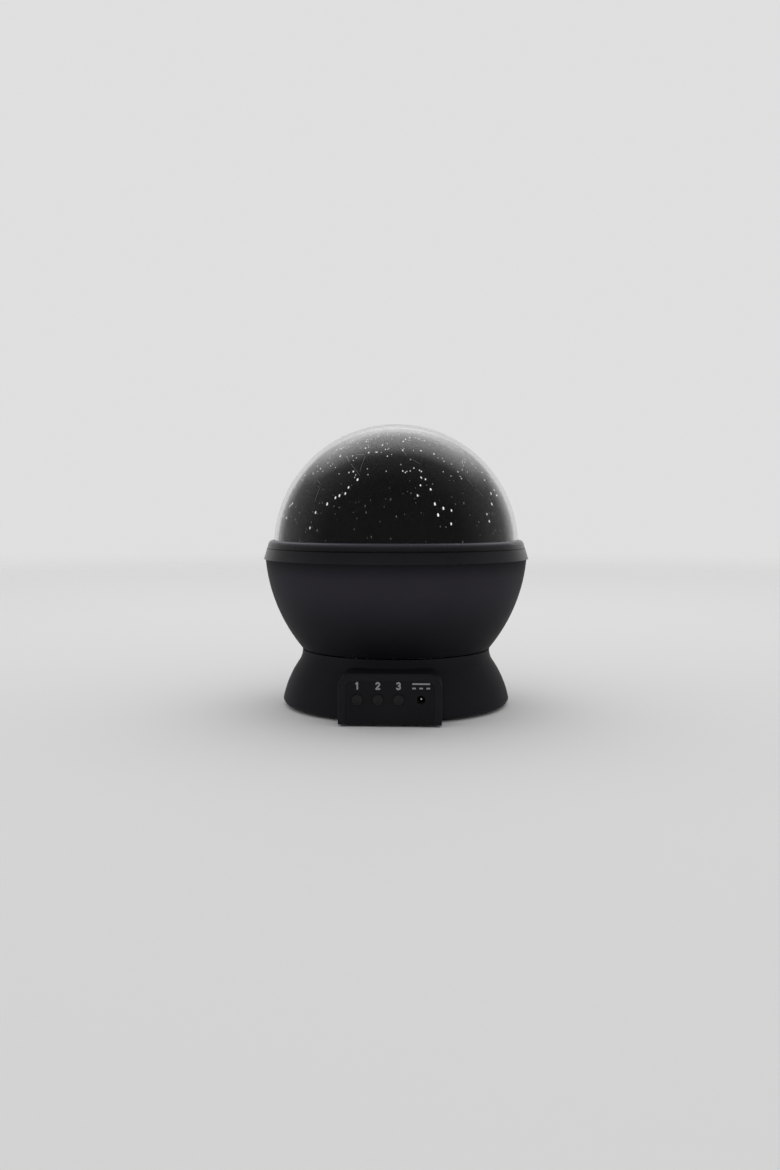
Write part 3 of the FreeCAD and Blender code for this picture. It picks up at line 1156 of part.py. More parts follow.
def bowl_rim():
    """Lower rim band: sloping outer face, a ledge for the domes, and a channel for the ring's lugs."""
    top = BOWL_TOP + " + rim_tall"
    skirt = "bowl_radius - bowl_wall - slide_gap"
    channel_top = LUG_LOW + " + lug_toe + end_gap"
    rim = turned([
        ("rim_radius", BOWL_TOP),
        ("rim_top_radius", top),
        (LUG_OUTER + " + slide_gap", top),
        (LUG_OUTER + " + slide_gap", channel_top),
        (CHANNEL, channel_top),
        (CHANNEL, BOWL_TOP + " + lug_floor"),
        ("dome_flange", BOWL_TOP + " + lug_floor"),
        ("dome_flange", BOWL_TOP + " + ledge_lift"),
        ("ledge_inner", BOWL_TOP + " + ledge_lift"),
        ("ledge_inner", BOWL_TOP + " - rim_skirt / 2"),
        (skirt + " - skirt_draw - rim_skirt_wall", BOWL_TOP + " - rim_skirt"),
        (skirt + " - skirt_draw", BOWL_TOP + " - rim_skirt"),
        (skirt, BOWL_TOP),
    ])
    slots = [sector(CHANNEL, "rim_tall", channel_top + " - slide_gap",
                    "lug_start - lug_play + %d" % (120 * third), "lug_angle + 2 * lug_play")
             for third in range(3)]
    node("bowl_rim", cut(rim, *slots))


def lock_ring():
    """Upper rim band that holds the domes' flanges down, with three lugs for the rim's slots."""
    low = BOWL_TOP + " + rim_tall + rim_groove"
    top = low + " + ring_tall"
    ring = turned([
        ("dome_radius + lug_gap", RING_LIP),
        (LUG_OUTER, RING_LIP),
        (LUG_OUTER, low),
        ("rim_top_radius - rim_groove / 2", low),
        ("shoulder_radius", top + " - ring_drop"),
        ("ring_top_radius", top, "ring_round", 1),
        ("dome_radius + lug_gap", top),
    ])
    lugs = []
    for third in range(3):
        start = "lug_start + %d" % (120 * third)
        leg = sector(LUG_OUTER, "%s - (%s)" % (RING_LIP, LUG_LOW), LUG_LOW, start, "lug_angle")
        toe = sector(LUG_OUTER + " + lug_reach", "lug_toe", LUG_LOW, start, "lug_angle")
        inner = rod(LUG_INNER, "rim_tall + 2 * overrun", z=LUG_LOW + " - overrun")
        lugs.append(cut(fuse(leg, toe), inner))
    node("lock_ring", fuse(ring, *lugs))


def dome_outline(radius, wall, flange_top, flange_low):
    """Half section of a dome with a short upright skirt and a flange."""
    return [
        ("0", "%s + %s" % (DOME_MIDDLE, radius)),
        ("0", "%s + %s - (%s)" % (DOME_MIDDLE, radius, wall)),
        ("%s - (%s)" % (radius, wall), DOME_MIDDLE, "%s - (%s)" % (radius, wall), -1),
        ("%s - (%s)" % (radius, wall), flange_low),
        ("dome_flange", flange_low),
        ("dome_flange", flange_top),
        (radius, flange_top),
    ]


def domes():
    """Clear outer dome and, close under it, the dome that carries the stars."""
    flange_low = DOME_MIDDLE + " - flange_deep"
    clear = dome_outline("dome_radius", "dome_wall", DOME_MIDDLE, flange_low)
    clear[0] += ("dome_radius", 1)
    node("clear_dome", turned(clear))
    film = dome_outline("dome_radius - dome_wall - film_gap", "film_wall", flange_low,
                        BOWL_TOP + " + ledge_lift")
    film.append(("dome_radius - dome_wall - film_gap", DOME_MIDDLE))
    film[0] += ("dome_radius - dome_wall - film_gap", 1)
    node("star_dome", turned(film))


def lamp_post():
    """Fixed hollow post on the deck, with its screws, washer and the clip over the bowl's hub."""
    journal_top = FLANGE_TOP + " + journal_tall"
    clip_low = HUB_TOP + " + end_gap"
    post = turned([
        ("post_bore", DECK_TOP),
        ("post_flange", DECK_TOP),
        ("post_flange", FLANGE_TOP),
        ("journal_radius", FLANGE_TOP),
        ("journal_radius", clip_low),
        ("clip_inner", clip_low),
        ("clip_inner", clip_low + " + clip_thick"),
        ("journal_radius", clip_low + " + clip_thick"),
        ("journal_radius", journal_top),
        ("post_radius", journal_top + " + journal_radius - post_radius"),
        ("post_radius", POST_TOP),
        ("post_bore", POST_TOP),
    ])
    drills, screws = [], []
    for angle in ("0", "90", "180"):
        x, y = polar("post_screw_ring", angle)
        drills.append(rod("screw_radius", "post_flange_thick + 2 * overrun", x, y, DECK_TOP + " - overrun"))
        screws.append(screw(x, y, FLANGE_TOP, "screw_long", up=-1))
    node("lamp_post", cut(post, *drills))
    node("post_screws", group(*screws))
    node("thrust_washer", cut(rod("journal_radius + washer_wide", "washer_thick", z=FLANGE_TOP),
                              rod("journal_radius + slide_gap", "washer_thick", z=FLANGE_TOP)))
    clip = sector("clip_radius", "clip_thick", clip_low, "lug_start", "clip_span")
    node("post_clip", cut(clip, rod("clip_inner", "clip_thick", z=clip_low)))


def lamp():
    """Lamp holder on the post, the round board on it, four lamps and two screws."""
    sleeve_low = POST_TOP + " - holder_sleeve_tall"
    holder = turned([
        ("post_radius", sleeve_low),
        ("holder_sleeve", sleeve_low),
        ("holder_sleeve", POST_TOP),
        ("holder_radius", POST_TOP),
        ("holder_radius", HOLDER_TOP),
        ("post_bore", HOLDER_TOP),
        ("post_bore", POST_TOP),
        ("post_radius", POST_TOP),
    ])
    bosses, pilots, drills, screws = [], [], [], []
    for half in range(2):
        x, y = polar("lamp_screw_ring", "lamp_screw_angle + %d" % (180 * half))
        bosses.append(rod("holder_boss", "holder_boss_tall", x, y, POST_TOP + " - holder_boss_tall"))
        pilots.append(rod("screw_radius", "screw_long", x, y, HOLDER_TOP + " + board_thick - screw_long"))
        drills.append(rod("screw_radius", "board_thick + 2 * overrun", x, y, HOLDER_TOP + " - overrun"))
        screws.append(screw(x, y, HOLDER_TOP + " + board_thick", "screw_long", up=-1))
    node("lamp_holder", cut(fuse(holder, *bosses), *pilots))
    node("lamp_board", cut(rod("lamp_board_radius", "board_thick", z=HOLDER_TOP), *drills))
    node("lamp_screws", group(*screws))
    lamps = []
    for quarter in range(4):
        x, y = polar("lamp_ring", str(90 * quarter))
        low = HOLDER_TOP + " + board_thick"
        tip = doc.addObject("Part::Sphere", "Tip")
        bind(tip, Radius="lamp_radius")
        place(tip, x, y, low + " + lamp_tall")
        lamps.append(fuse(rod("lamp_flange", "lamp_flange_tall", x, y, low),
                          rod("lamp_radius", "lamp_tall", x, y, low), tip))
    node("lamps", group(*lamps))


def leads():
    """The three two-core leads inside the base, each along its real route."""
    radius = size("lead_radius")
    back = size(BOARD_BACK)
    terminal = size("%s - terminal_apart / 2 - terminal_thick / 2" % MOTOR_Y)
    wall = size("pack_half + pack_wall")
    routes = {
        "battery_lead": [(wall, 8, 10), (32, 8, 10), (38.5, -3, 10), (42.5, -13.5, 9.5), (41.5, -25, 8.5),
                         (33.5, -34.5, 7.5), (23, -41, 7), (13, -44.5, 6.3), (8, -47, 6.3), (8, back, 6.3)],
        "motor_lead": [(31.3, terminal, 7.8), (31.3, -26, 7.8), (34.4, -27.6, 8.2), (34.2, -31.5, 10),
                       (24, -38.7, 13), (15, -43, 15.2), (6, -46.8, 16.2), (6, back, 16.2)],
        "lamp_lead": [(0, 0, size(HOLDER_TOP)), (0, 0, 17), (10, 5.5, 17.2), (21, 6, 17), (31, 1.5, 15.5),
                      (37.5, -8, 14), (40.6, -19.5, 13), (38, -27.5, 13), (30.5, -35, 14.5),
                      (21.5, -40, 16.5), (11, -44, 18), (-2.5, -46.5, 18), (-2.5, back, 18)],
    }
    for name, points in routes.items():
        print(name)
        node(name, solid_feature(tube_along([Vector(*point) for point in points], radius), "Lead"))


base_shell()
control_panel()
buttons()
button_board()
base_plate()
battery_door()
battery_pack()
gearbox()
motor()
gears()
bowl_shell()
bowl_deck()
bowl_rim()
lock_ring()
domes()
lamp_post()
lamp()
leads()
doc.recompute()

for item in doc.Objects:
    if "Invalid" in item.State or "Error" in item.State:
        raise RuntimeError("%s (%s) failed: %s" % (item.Name, item.Label, item.State))
for name, thing in nodes.items():
    if thing.Shape.isNull() or not thing.Shape.isValid() or not thing.Shape.Solids:
        raise RuntimeError("%s has no valid solid" % name)

os.makedirs("parts", exist_ok=True)
for name, thing in nodes.items():
    thing.Shape.exportStep("parts/%s.step" % name)
    box = thing.Shape.BoundBox
    print("%-18s %2d solids  volume %9.1f  x %.1f..%.1f  y %.1f..%.1f  z %.1f..%.1f"
          % (name, len(thing.Shape.Solids), thing.Shape.Volume, box.XMin, box.XMax, box.YMin, box.YMax,
             box.ZMin, box.ZMax))
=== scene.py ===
# %% [markdown]
# # A star projector, dressed for a studio picture
#
# This table lamp throws stars onto a ceiling. A black dome with hundreds of clear windows stands over
# four small lamps, a clear dome covers it, and a motor turns the bowl that carries both.
# Its solids come ready made, each in its true place. What is left is the part that the eye judges:
# polished and satin plastic, thin printed film, fine edges and soft light.

# %% Load the solids
import json
import math

import bmesh
import bpy
import numpy as np
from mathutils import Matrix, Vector


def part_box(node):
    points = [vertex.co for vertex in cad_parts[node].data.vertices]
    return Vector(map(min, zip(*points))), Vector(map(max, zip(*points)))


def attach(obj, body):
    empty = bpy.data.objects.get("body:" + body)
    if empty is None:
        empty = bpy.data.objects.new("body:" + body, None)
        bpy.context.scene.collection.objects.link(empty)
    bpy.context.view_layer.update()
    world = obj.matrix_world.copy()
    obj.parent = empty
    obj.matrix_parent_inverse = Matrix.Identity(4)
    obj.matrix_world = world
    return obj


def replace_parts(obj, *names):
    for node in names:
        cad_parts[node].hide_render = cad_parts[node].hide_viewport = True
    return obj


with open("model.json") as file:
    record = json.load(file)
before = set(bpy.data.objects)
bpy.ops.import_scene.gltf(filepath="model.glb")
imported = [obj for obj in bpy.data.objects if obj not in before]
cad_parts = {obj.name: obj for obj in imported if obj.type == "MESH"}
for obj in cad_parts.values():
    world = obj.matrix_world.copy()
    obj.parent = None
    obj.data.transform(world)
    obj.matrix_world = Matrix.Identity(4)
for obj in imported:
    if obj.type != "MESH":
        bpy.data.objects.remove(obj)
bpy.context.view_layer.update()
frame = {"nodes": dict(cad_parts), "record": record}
MM = 0.001

# %% [markdown]
# ## The camera
#
# A picture of a round object says a lot about its camera. The ellipses of the rim and of the seam give
# the camera's height, and how fast they open from one to the next gives its distance. The picture is
# taken from about half a metre, a little below the middle of the dome, with a normal lens.
# The lens is set from a focal length in pixels, because that is what such a measurement gives.

# %% Camera
PHOTO_WIDE = 780
PHOTO_TALL = 1170
FOCAL_PX = 1050
HORIZON_PX = 508
AXIS_PX = 396
CAMERA_AWAY = 505 * MM
CAMERA_HIGH = 94 * MM
CAMERA_ROUND = math.radians(2.6)
SENSOR = 36.0


def add_camera():
    """A camera at the picture's distance, height and lens, turned to put the horizon and the axis right."""
    data = bpy.data.cameras.new("camera")
    data.sensor_width = SENSOR
    data.lens = FOCAL_PX / PHOTO_TALL * SENSOR
    data.clip_start = 0.01
    camera = bpy.data.objects.new("camera", data)
    bpy.context.collection.objects.link(camera)
    camera.location = (math.sin(CAMERA_ROUND) * CAMERA_AWAY, -math.cos(CAMERA_ROUND) * CAMERA_AWAY,
                       CAMERA_HIGH)
    down = math.atan((PHOTO_TALL / 2 - HORIZON_PX) / FOCAL_PX)
    aside = math.atan((AXIS_PX - PHOTO_WIDE / 2) / FOCAL_PX)
    camera.rotation_euler = (math.pi / 2 - down, 0, CAMERA_ROUND + aside)
    bpy.context.scene.camera = camera
    print("camera: lens %.1f mm, %.1f degrees down" % (data.lens, math.degrees(down)))


add_camera()

# %% [markdown]
# ## Surfaces from formulas
#
# Every new piece is a grid of points, worked out all at once with numpy: one direction runs along a
# profile, the other round an axis or along a line. A grid that closes on itself is joined there, and
# the many equal points at a pole are merged into one, so that each piece is a closed skin.
# Edges that turn more sharply than a limit are marked sharp, and everything else is shaded smooth.

# %% Grid meshes
SHARP_TURN = math.radians(38)
MERGE_CLOSER = 1e-7
TURN_STEPS = 256


def grid_faces(rows, columns):
    """Corner numbers of the quads between neighbouring points of a grid whose rows close on themselves."""
    i, j = np.meshgrid(np.arange(rows - 1), np.arange(columns), indexing="ij")
    below, beside = i + 1, (j + 1) % columns
    corners = [i * columns + j, i * columns + beside, below * columns + beside, below * columns + j]
    return np.stack(corners, axis=-1).reshape(-1, 4)


def new_piece(name, points, faces, material):
    """An object at the origin from points and faces: doubles merged, faces outwards, sharp edges marked."""
    mesh = bpy.data.meshes.new(name)
    mesh.from_pydata(points.reshape(-1, 3), [], faces.tolist())
    form = bmesh.new()
    form.from_mesh(mesh)
    bmesh.ops.remove_doubles(form, verts=form.verts, dist=MERGE_CLOSER)
    bmesh.ops.dissolve_degenerate(form, edges=form.edges, dist=MERGE_CLOSER)
    bmesh.ops.recalc_face_normals(form, faces=form.faces)
    for edge in form.edges:
        edge.smooth = len(edge.link_faces) != 2 or edge.calc_face_angle() < SHARP_TURN
    for face in form.faces:
        face.smooth = True
    form.to_mesh(mesh)
    form.free()
    piece = bpy.data.objects.new(name, mesh)
    bpy.context.collection.objects.link(piece)
    mesh.materials.append(material)
    print("%s: %d faces" % (name, len(mesh.polygons)))
    return piece


def round_z(profile, steps):
    """Carry (radius, height) points round the Z axis: x = r cos t, y = r sin t, z = h."""
    turn = np.linspace(0, 2 * np.pi, steps, endpoint=False)
    radius, height = profile[:, :1], profile[:, 1:]
    return np.stack([radius * np.cos(turn), radius * np.sin(turn), height + 0 * turn], axis=-1)


def arc(middle, radius, start, stop, steps):
    """Points on a circle round a middle, from one angle in degrees to another."""
    turn = np.radians(np.linspace(start, stop, steps))
    return np.stack([middle[0] + radius * np.cos(turn), middle[1] + radius * np.sin(turn)], axis=-1)


def turned_piece(name, profile, material):
    """A piece turned about Z from a profile, which is a line of points from pole to pole."""
    points = round_z(profile, TURN_STEPS)
    return new_piece(name, points, grid_faces(len(profile), TURN_STEPS), material)


# %% [markdown]
# ## Finishes
#
# Moulded plastic is never one flat value. A mould leaves a fine grain, its gloss drifts a little from
# place to place, and handling polishes the edges. Each of these is a small group of nodes with named
# inputs, built once and set to its own strength in each material.
# All of them read Object coordinates, so the pattern stays with the piece as it turns and lifts.

# %% Node tools
def new_group(name, inputs, outputs):
    """A shader node group with number inputs and outputs, ready to be filled."""
    group = bpy.data.node_groups.new(name, "ShaderNodeTree")
    for label, value in inputs:
        socket = group.interface.new_socket(label, in_out="INPUT", socket_type="NodeSocketFloat")
        socket.default_value = value
    for label in outputs:
        group.interface.new_socket(label, in_out="OUTPUT", socket_type="NodeSocketFloat")
    return group, group.nodes.new("NodeGroupInput"), group.nodes.new("NodeGroupOutput")


def math_node(tree, operation, first, second=None, third=None, clamp=False):
    """A Math node. Each operand is a number or a socket."""
    node = tree.nodes.new("ShaderNodeMath")
    node.operation = operation
    node.use_clamp = clamp
    for socket, value in zip(node.inputs, (first, second, third)):
        if value is None:
            continue
        if isinstance(value, (int, float)):
            socket.default_value = value
        else:
            tree.links.new(value, socket)
    return node.outputs[0]


def noise_node(tree, place, scale, detail=2.0, roughness=0.5):
    """A noise texture at a place. Its scale is a number or a socket."""
    node = tree.nodes.new("ShaderNodeTexNoise")
    node.inputs["Detail"].default_value = detail
    node.inputs["Roughness"].default_value = roughness
    tree.links.new(place, node.inputs["Vector"])
    if isinstance(scale, (int, float)):
        node.inputs["Scale"].default_value = scale
    else:
        tree.links.new(scale, node.inputs["Scale"])
    return node.outputs[0]


def object_place(tree):
    """The socket that gives Object coordinates."""
    return tree.nodes.new("ShaderNodeTexCoord").outputs["Object"]


# %% Groups
def grain_group():
    """Moulded grain: fine pits from a noise, and a slow drift of the gloss from a second, larger one."""
    group, given, out = new_group("moulded_grain", [("Grain size mm", 0.25), ("Drift size mm", 18.0)],
                                  ["Height", "Drift"])
    place = object_place(group)
    fine = math_node(group, "DIVIDE", 1 / MM, given.outputs["Grain size mm"])
    slow = math_node(group, "DIVIDE", 1 / MM, given.outputs["Drift size mm"])
    group.links.new(noise_node(group, place, fine, 3.0, 0.6), out.inputs["Height"])
    group.links.new(noise_node(group, place, slow, 3.0, 0.55), out.inputs["Drift"])
    return group


def dust_group():
    """Dust: sparse soft specks, thicker where the surface faces up."""
    group, given, out = new_group("settled_dust", [("Speck size mm", 0.8), ("Amount", 0.1)], ["Mask"])
    place = object_place(group)
    size = math_node(group, "DIVIDE", 1 / MM, given.outputs["Speck size mm"])
    specks = noise_node(group, place, size, 4.0, 0.7)
    clouds = noise_node(group, place, 40.0, 2.0)
    sharp = math_node(group, "MULTIPLY_ADD", specks, 6.0, -3.7, clamp=True)
    split = group.nodes.new("ShaderNodeSeparateXYZ")
    group.links.new(group.nodes.new("ShaderNodeNewGeometry").outputs["Normal"], split.inputs[0])
    up = math_node(group, "MULTIPLY_ADD", split.outputs["Z"], 0.5, 0.35, clamp=True)
    mask = math_node(group, "MULTIPLY", math_node(group, "MULTIPLY", sharp, clouds), up)
    mask = math_node(group, "MULTIPLY", mask, given.outputs["Amount"], clamp=True)
    group.links.new(mask, out.inputs["Mask"])
    return group


def edge_group():
    """Worn edges: where a normal blurred over a small radius leaves the true one, the surface is an edge."""
    group, given, out = new_group("worn_edges", [("Strength", 1.0)], ["Mask"])
    blurred = group.nodes.new("ShaderNodeBevel")
    blurred.samples = 4
    blurred.inputs["Radius"].default_value = 0.5 * MM
    product = group.nodes.new("ShaderNodeVectorMath")
    product.operation = "DOT_PRODUCT"
    group.links.new(blurred.outputs[0], product.inputs[0])
    group.links.new(group.nodes.new("ShaderNodeNewGeometry").outputs["Normal"], product.inputs[1])
    away = math_node(group, "SUBTRACT", 1.0, product.outputs["Value"], clamp=True)
    away = math_node(group, "MULTIPLY", away, 4.0, clamp=True)
    patchy = noise_node(group, object_place(group), 300.0, 3.0)
    mask = math_node(group, "MULTIPLY", away, math_node(group, "ADD", patchy, 0.2))
    mask = math_node(group, "MULTIPLY", mask, given.outputs["Strength"], clamp=True)
    group.links.new(mask, out.inputs["Mask"])
    return group


GRAIN = grain_group()
DUST = dust_group()
EDGES = edge_group()


def place_group(tree, group, **values):
    """A group node in a material, with its inputs set by name."""
    node = tree.nodes.new("ShaderNodeGroup")
    node.node_tree = group
    for label, value in values.items():
        node.inputs[label.replace("_", " ")].default_value = value
    return node


def new_material(name, **plain):
    """A material with a Principled shader, its plain sockets set by name."""
    material = bpy.data.materials.new(name)
    material.use_nodes = True
    shader = material.node_tree.nodes["Principled BSDF"]
    for label, value in plain.items():
        shader.inputs[label.replace("_", " ")].default_value = value
    return material, material.node_tree, shader


def mix_colour(tree, share, first, second):
    """Mix two colours by a share. Each colour is three numbers or a socket."""
    node = tree.nodes.new("ShaderNodeMix")
    node.data_type = "RGBA"
    tree.links.new(share, node.inputs["Factor"])
    for socket, value in ((node.inputs[6], first), (node.inputs[7], second)):
        if isinstance(value, (tuple, list)):
            socket.default_value = (*value, 1)
        else:
            tree.links.new(value, socket)
    return node.outputs[2]


def multiply_colour(tree, first, second, share=1.0):
    """One colour times another, by a share."""
    node = tree.nodes.new("ShaderNodeMix")
    node.data_type = "RGBA"
    node.blend_type = "MULTIPLY"
    node.inputs["Factor"].default_value = share
    tree.links.new(first, node.inputs[6])
    tree.links.new(second, node.inputs[7])
    return node.outputs[2]


def smooth_fade(tree, value, near, far, first=0.0, last=1.0):
    """A smooth step: the first level where the value is at its near end, the last one at its far end."""
    fade = tree.nodes.new("ShaderNodeMapRange")
    fade.interpolation_type = "SMOOTHSTEP"
    for label, level in (("From Min", near), ("From Max", far), ("To Min", first), ("To Max", last)):
        fade.inputs[label].default_value = level
    tree.links.new(value, fade.inputs["Value"])
    return fade.outputs["Result"]


def add_bump(tree, shader, height, depth):
    """Feed a height into the shader's normal, with a depth in metres."""
    bump = tree.nodes.new("ShaderNodeBump")
    bump.inputs["Distance"].default_value = depth
    tree.links.new(height, bump.inputs["Height"])
    tree.links.new(bump.outputs["Normal"], shader.inputs["Normal"])


# %% [markdown]
# ## Moulded plastics
#
# Most of the lamp is one black plastic, but each moulding has its own gloss: the bowl is satin, the
# rim glossy, the underside coarse. One function makes them all from a colour, a roughness, a grain and
# an amount of dust and wear. A ramp over the height paints light and shade into the colour of two of them.
# On the bowl it is painted shade: darkest under the rim and towards the neck, palest where the bowl is
# widest. On the ring it is a painted highlight along the shoulder and a painted shadow in the seam below it.

# %% Plastics
DUST_COLOUR = (0.32, 0.31, 0.30)
DRIFTED_PALER = (1.25, 0.004)
RUBBED_PALER = (1.5, 0.02)
GLOSS_DRIFT = 0.22
POLISHED = 0.2


def paint_light_by_height(tree, surface, painted_light):
    """A colour times painted light and shade that change with the height: pairs of height in mm and tone, low
    to high.
    """
    low, high = painted_light[0][0], painted_light[-1][0]
    split = tree.nodes.new("ShaderNodeSeparateXYZ")
    tree.links.new(object_place(tree), split.inputs[0])
    share = math_node(tree, "MULTIPLY_ADD", split.outputs["Z"], 1 / MM / (high - low), -low / (high - low))
    ramp = tree.nodes.new("ShaderNodeValToRGB")
    stops = ramp.color_ramp.elements
    for height, tone in painted_light[1:-1]:
        stops.new((height - low) / (high - low)).color = (tone, tone, tone, 1)
    for stop, tone in ((stops[0], painted_light[0][1]), (stops[-1], painted_light[-1][1])):
        stop.color = (tone, tone, tone, 1)
    tree.links.new(share, ramp.inputs["Fac"])
    return multiply_colour(tree, surface, ramp.outputs["Color"])


def paler(colour, times, more):
    """A paler colour: each part is multiplied, a little is added, and it stays at most one."""
    return tuple(min(1.0, part * times + more) for part in colour)


def plastic(name, colour, roughness, grain=0.25, depth=0.006, dust=0.08, worn=0.35, specular=0.5, painted_light=None):
    """Moulded plastic: colour and gloss drift slowly, a fine grain pits it, edges are paler and smoother, and
    painted light and shade over the height are laid on where given.
    """
    material, tree, shader = new_material(name, Specular_IOR_Level=specular)
    pits = place_group(tree, GRAIN, Grain_size_mm=grain)
    dusty = place_group(tree, DUST, Amount=dust)
    edge = place_group(tree, EDGES, Strength=worn)
    surface = mix_colour(tree, pits.outputs["Drift"], colour, paler(colour, *DRIFTED_PALER))
    surface = mix_colour(tree, edge.outputs["Mask"], surface, paler(colour, *RUBBED_PALER))
    # Painted light and shade over the height, where given.
    if painted_light:
        surface = paint_light_by_height(tree, surface, painted_light)
    surface = mix_colour(tree, dusty.outputs["Mask"], surface, DUST_COLOUR)
    tree.links.new(surface, shader.inputs["Base Color"])
    gloss = math_node(tree, "MULTIPLY_ADD", pits.outputs["Drift"], GLOSS_DRIFT, roughness - GLOSS_DRIFT / 2)
    gloss = math_node(tree, "MULTIPLY_ADD", edge.outputs["Mask"], -POLISHED, gloss)
    gloss = math_node(tree, "ADD", gloss, dusty.outputs["Mask"], clamp=True)
    tree.links.new(gloss, shader.inputs["Roughness"])
    add_bump(tree, shader, pits.outputs["Height"], depth * MM)
    return material


# %% [markdown]
# ## Metals, rubber and small parts
#
# Metal is bare or plated, and its gloss shows how it was made: drawn cans and plates have fine lines,
# plated pins have none. Rubber is matt and holds dust. A circuit board shows its copper as a slightly
# lighter pattern of straight tracks under the coating.

# %% Small finishes
DRAWN_LINE_WIDE = 0.05
DRAWN_LINE_LONG = 6.0
DRAWN_LINE_DEEP = 0.002
TRACK_DEEP = 0.03
JACKET_BAND = 12.5
JACKET_END = 23.4
JACKET_SCUFFED = 0.35


def metal(name, colour, roughness):
    """Plated or drawn metal: fine lines from a noise that is stretched along X."""
    material, tree, shader = new_material(name, Metallic=1.0)
    mapping = tree.nodes.new("ShaderNodeMapping")
    mapping.inputs["Scale"].default_value = (1 / DRAWN_LINE_LONG, 1 / DRAWN_LINE_WIDE, 1 / DRAWN_LINE_WIDE)
    tree.links.new(object_place(tree), mapping.inputs["Vector"])
    lines = noise_node(tree, mapping.outputs[0], 1 / MM, 2.0)
    stains = noise_node(tree, object_place(tree), 250.0, 3.0)
    darker = tuple(part * 0.8 for part in colour)
    tree.links.new(mix_colour(tree, stains, darker, colour), shader.inputs["Base Color"])
    gloss = math_node(tree, "MULTIPLY_ADD", lines, 0.25, roughness - 0.125, clamp=True)
    tree.links.new(gloss, shader.inputs["Roughness"])
    add_bump(tree, shader, lines, DRAWN_LINE_DEEP * MM)
    return material


def circuit_board(name, colour, track_colour):
    """A coated board: straight tracks from a brick pattern, a little lighter and higher than the board."""
    material, tree, shader = new_material(name, Roughness=0.35)
    bricks = tree.nodes.new("ShaderNodeTexBrick")
    for label, value in (("Scale", 1 / MM / 2.4), ("Mortar Size", 0.10), ("Mortar Smooth", 0.1),
                         ("Brick Width", 2.2), ("Row Height", 0.5)):
        bricks.inputs[label].default_value = value
    swap = tree.nodes.new("ShaderNodeMapping")
    swap.inputs["Rotation"].default_value = (math.radians(90), 0, 0)
    tree.links.new(object_place(tree), swap.inputs["Vector"])
    tree.links.new(swap.outputs[0], bricks.inputs["Vector"])
    tree.links.new(mix_colour(tree, bricks.outputs["Fac"], colour, track_colour), shader.inputs["Base Color"])
    add_bump(tree, shader, bricks.outputs["Fac"], TRACK_DEEP * MM)
    return material


def cell_jacket(name):
    """A battery cell: a plain dark printed jacket, a copper band towards one end and bare steel ends."""
    material, tree, shader = new_material(name)
    split = tree.nodes.new("ShaderNodeSeparateXYZ")
    tree.links.new(object_place(tree), split.inputs[0])
    along = split.outputs["X"]
    band = math_node(tree, "GREATER_THAN", math_node(tree, "ABSOLUTE", along), JACKET_BAND * MM)
    end = math_node(tree, "GREATER_THAN", math_node(tree, "ABSOLUTE", along), JACKET_END * MM)
    scuffs = noise_node(tree, object_place(tree), 400.0, 4.0)
    jacket = mix_colour(tree, band, (0.03, 0.032, 0.036), (0.42, 0.20, 0.09))
    surface = mix_colour(tree, end, jacket, (0.62, 0.61, 0.59))
    worn = mix_colour(tree, scuffs, (0.5, 0.5, 0.5), (1.0, 1.0, 1.0))
    tree.links.new(multiply_colour(tree, surface, worn, JACKET_SCUFFED), shader.inputs["Base Color"])
    tree.links.new(math_node(tree, "MULTIPLY", end, 0.95), shader.inputs["Metallic"])
    tree.links.new(math_node(tree, "MULTIPLY_ADD", scuffs, 0.2, 0.2), shader.inputs["Roughness"])
    return material


def clear_plastic(name, roughness, ior, clear=1.0, sheen=0.0, sheen_roughness=0.5):
    """Clear moulded plastic: what it lets through, and the milky sheen that it shows where seen edge on."""
    material, tree, shader = new_material(name, Transmission_Weight=1.0, IOR=ior, Sheen_Weight=sheen,
                                          Sheen_Roughness=sheen_roughness)
    shader.inputs["Base Color"].default_value = (clear, clear, clear, 1)
    smears = noise_node(tree, object_place(tree), 60.0, 3.0)
    gloss = math_node(tree, "MULTIPLY_ADD", smears, roughness, roughness / 2)
    tree.links.new(gloss, shader.inputs["Roughness"])
    return material


def lit_window(name, colour, glow):
    """A clear window in black film: painted pale, with a painted glow that stands in for the lamps' light
    behind it.
    """
    material, tree, shader = new_material(name, Roughness=0.3, Emission_Strength=glow)
    uneven = noise_node(tree, object_place(tree), 900.0, 2.0)
    dimmer = tuple(part * 0.75 for part in colour)
    surface = mix_colour(tree, uneven, dimmer, colour)
    tree.links.new(surface, shader.inputs["Base Color"])
    tree.links.new(surface, shader.inputs["Emission Color"])
    return material
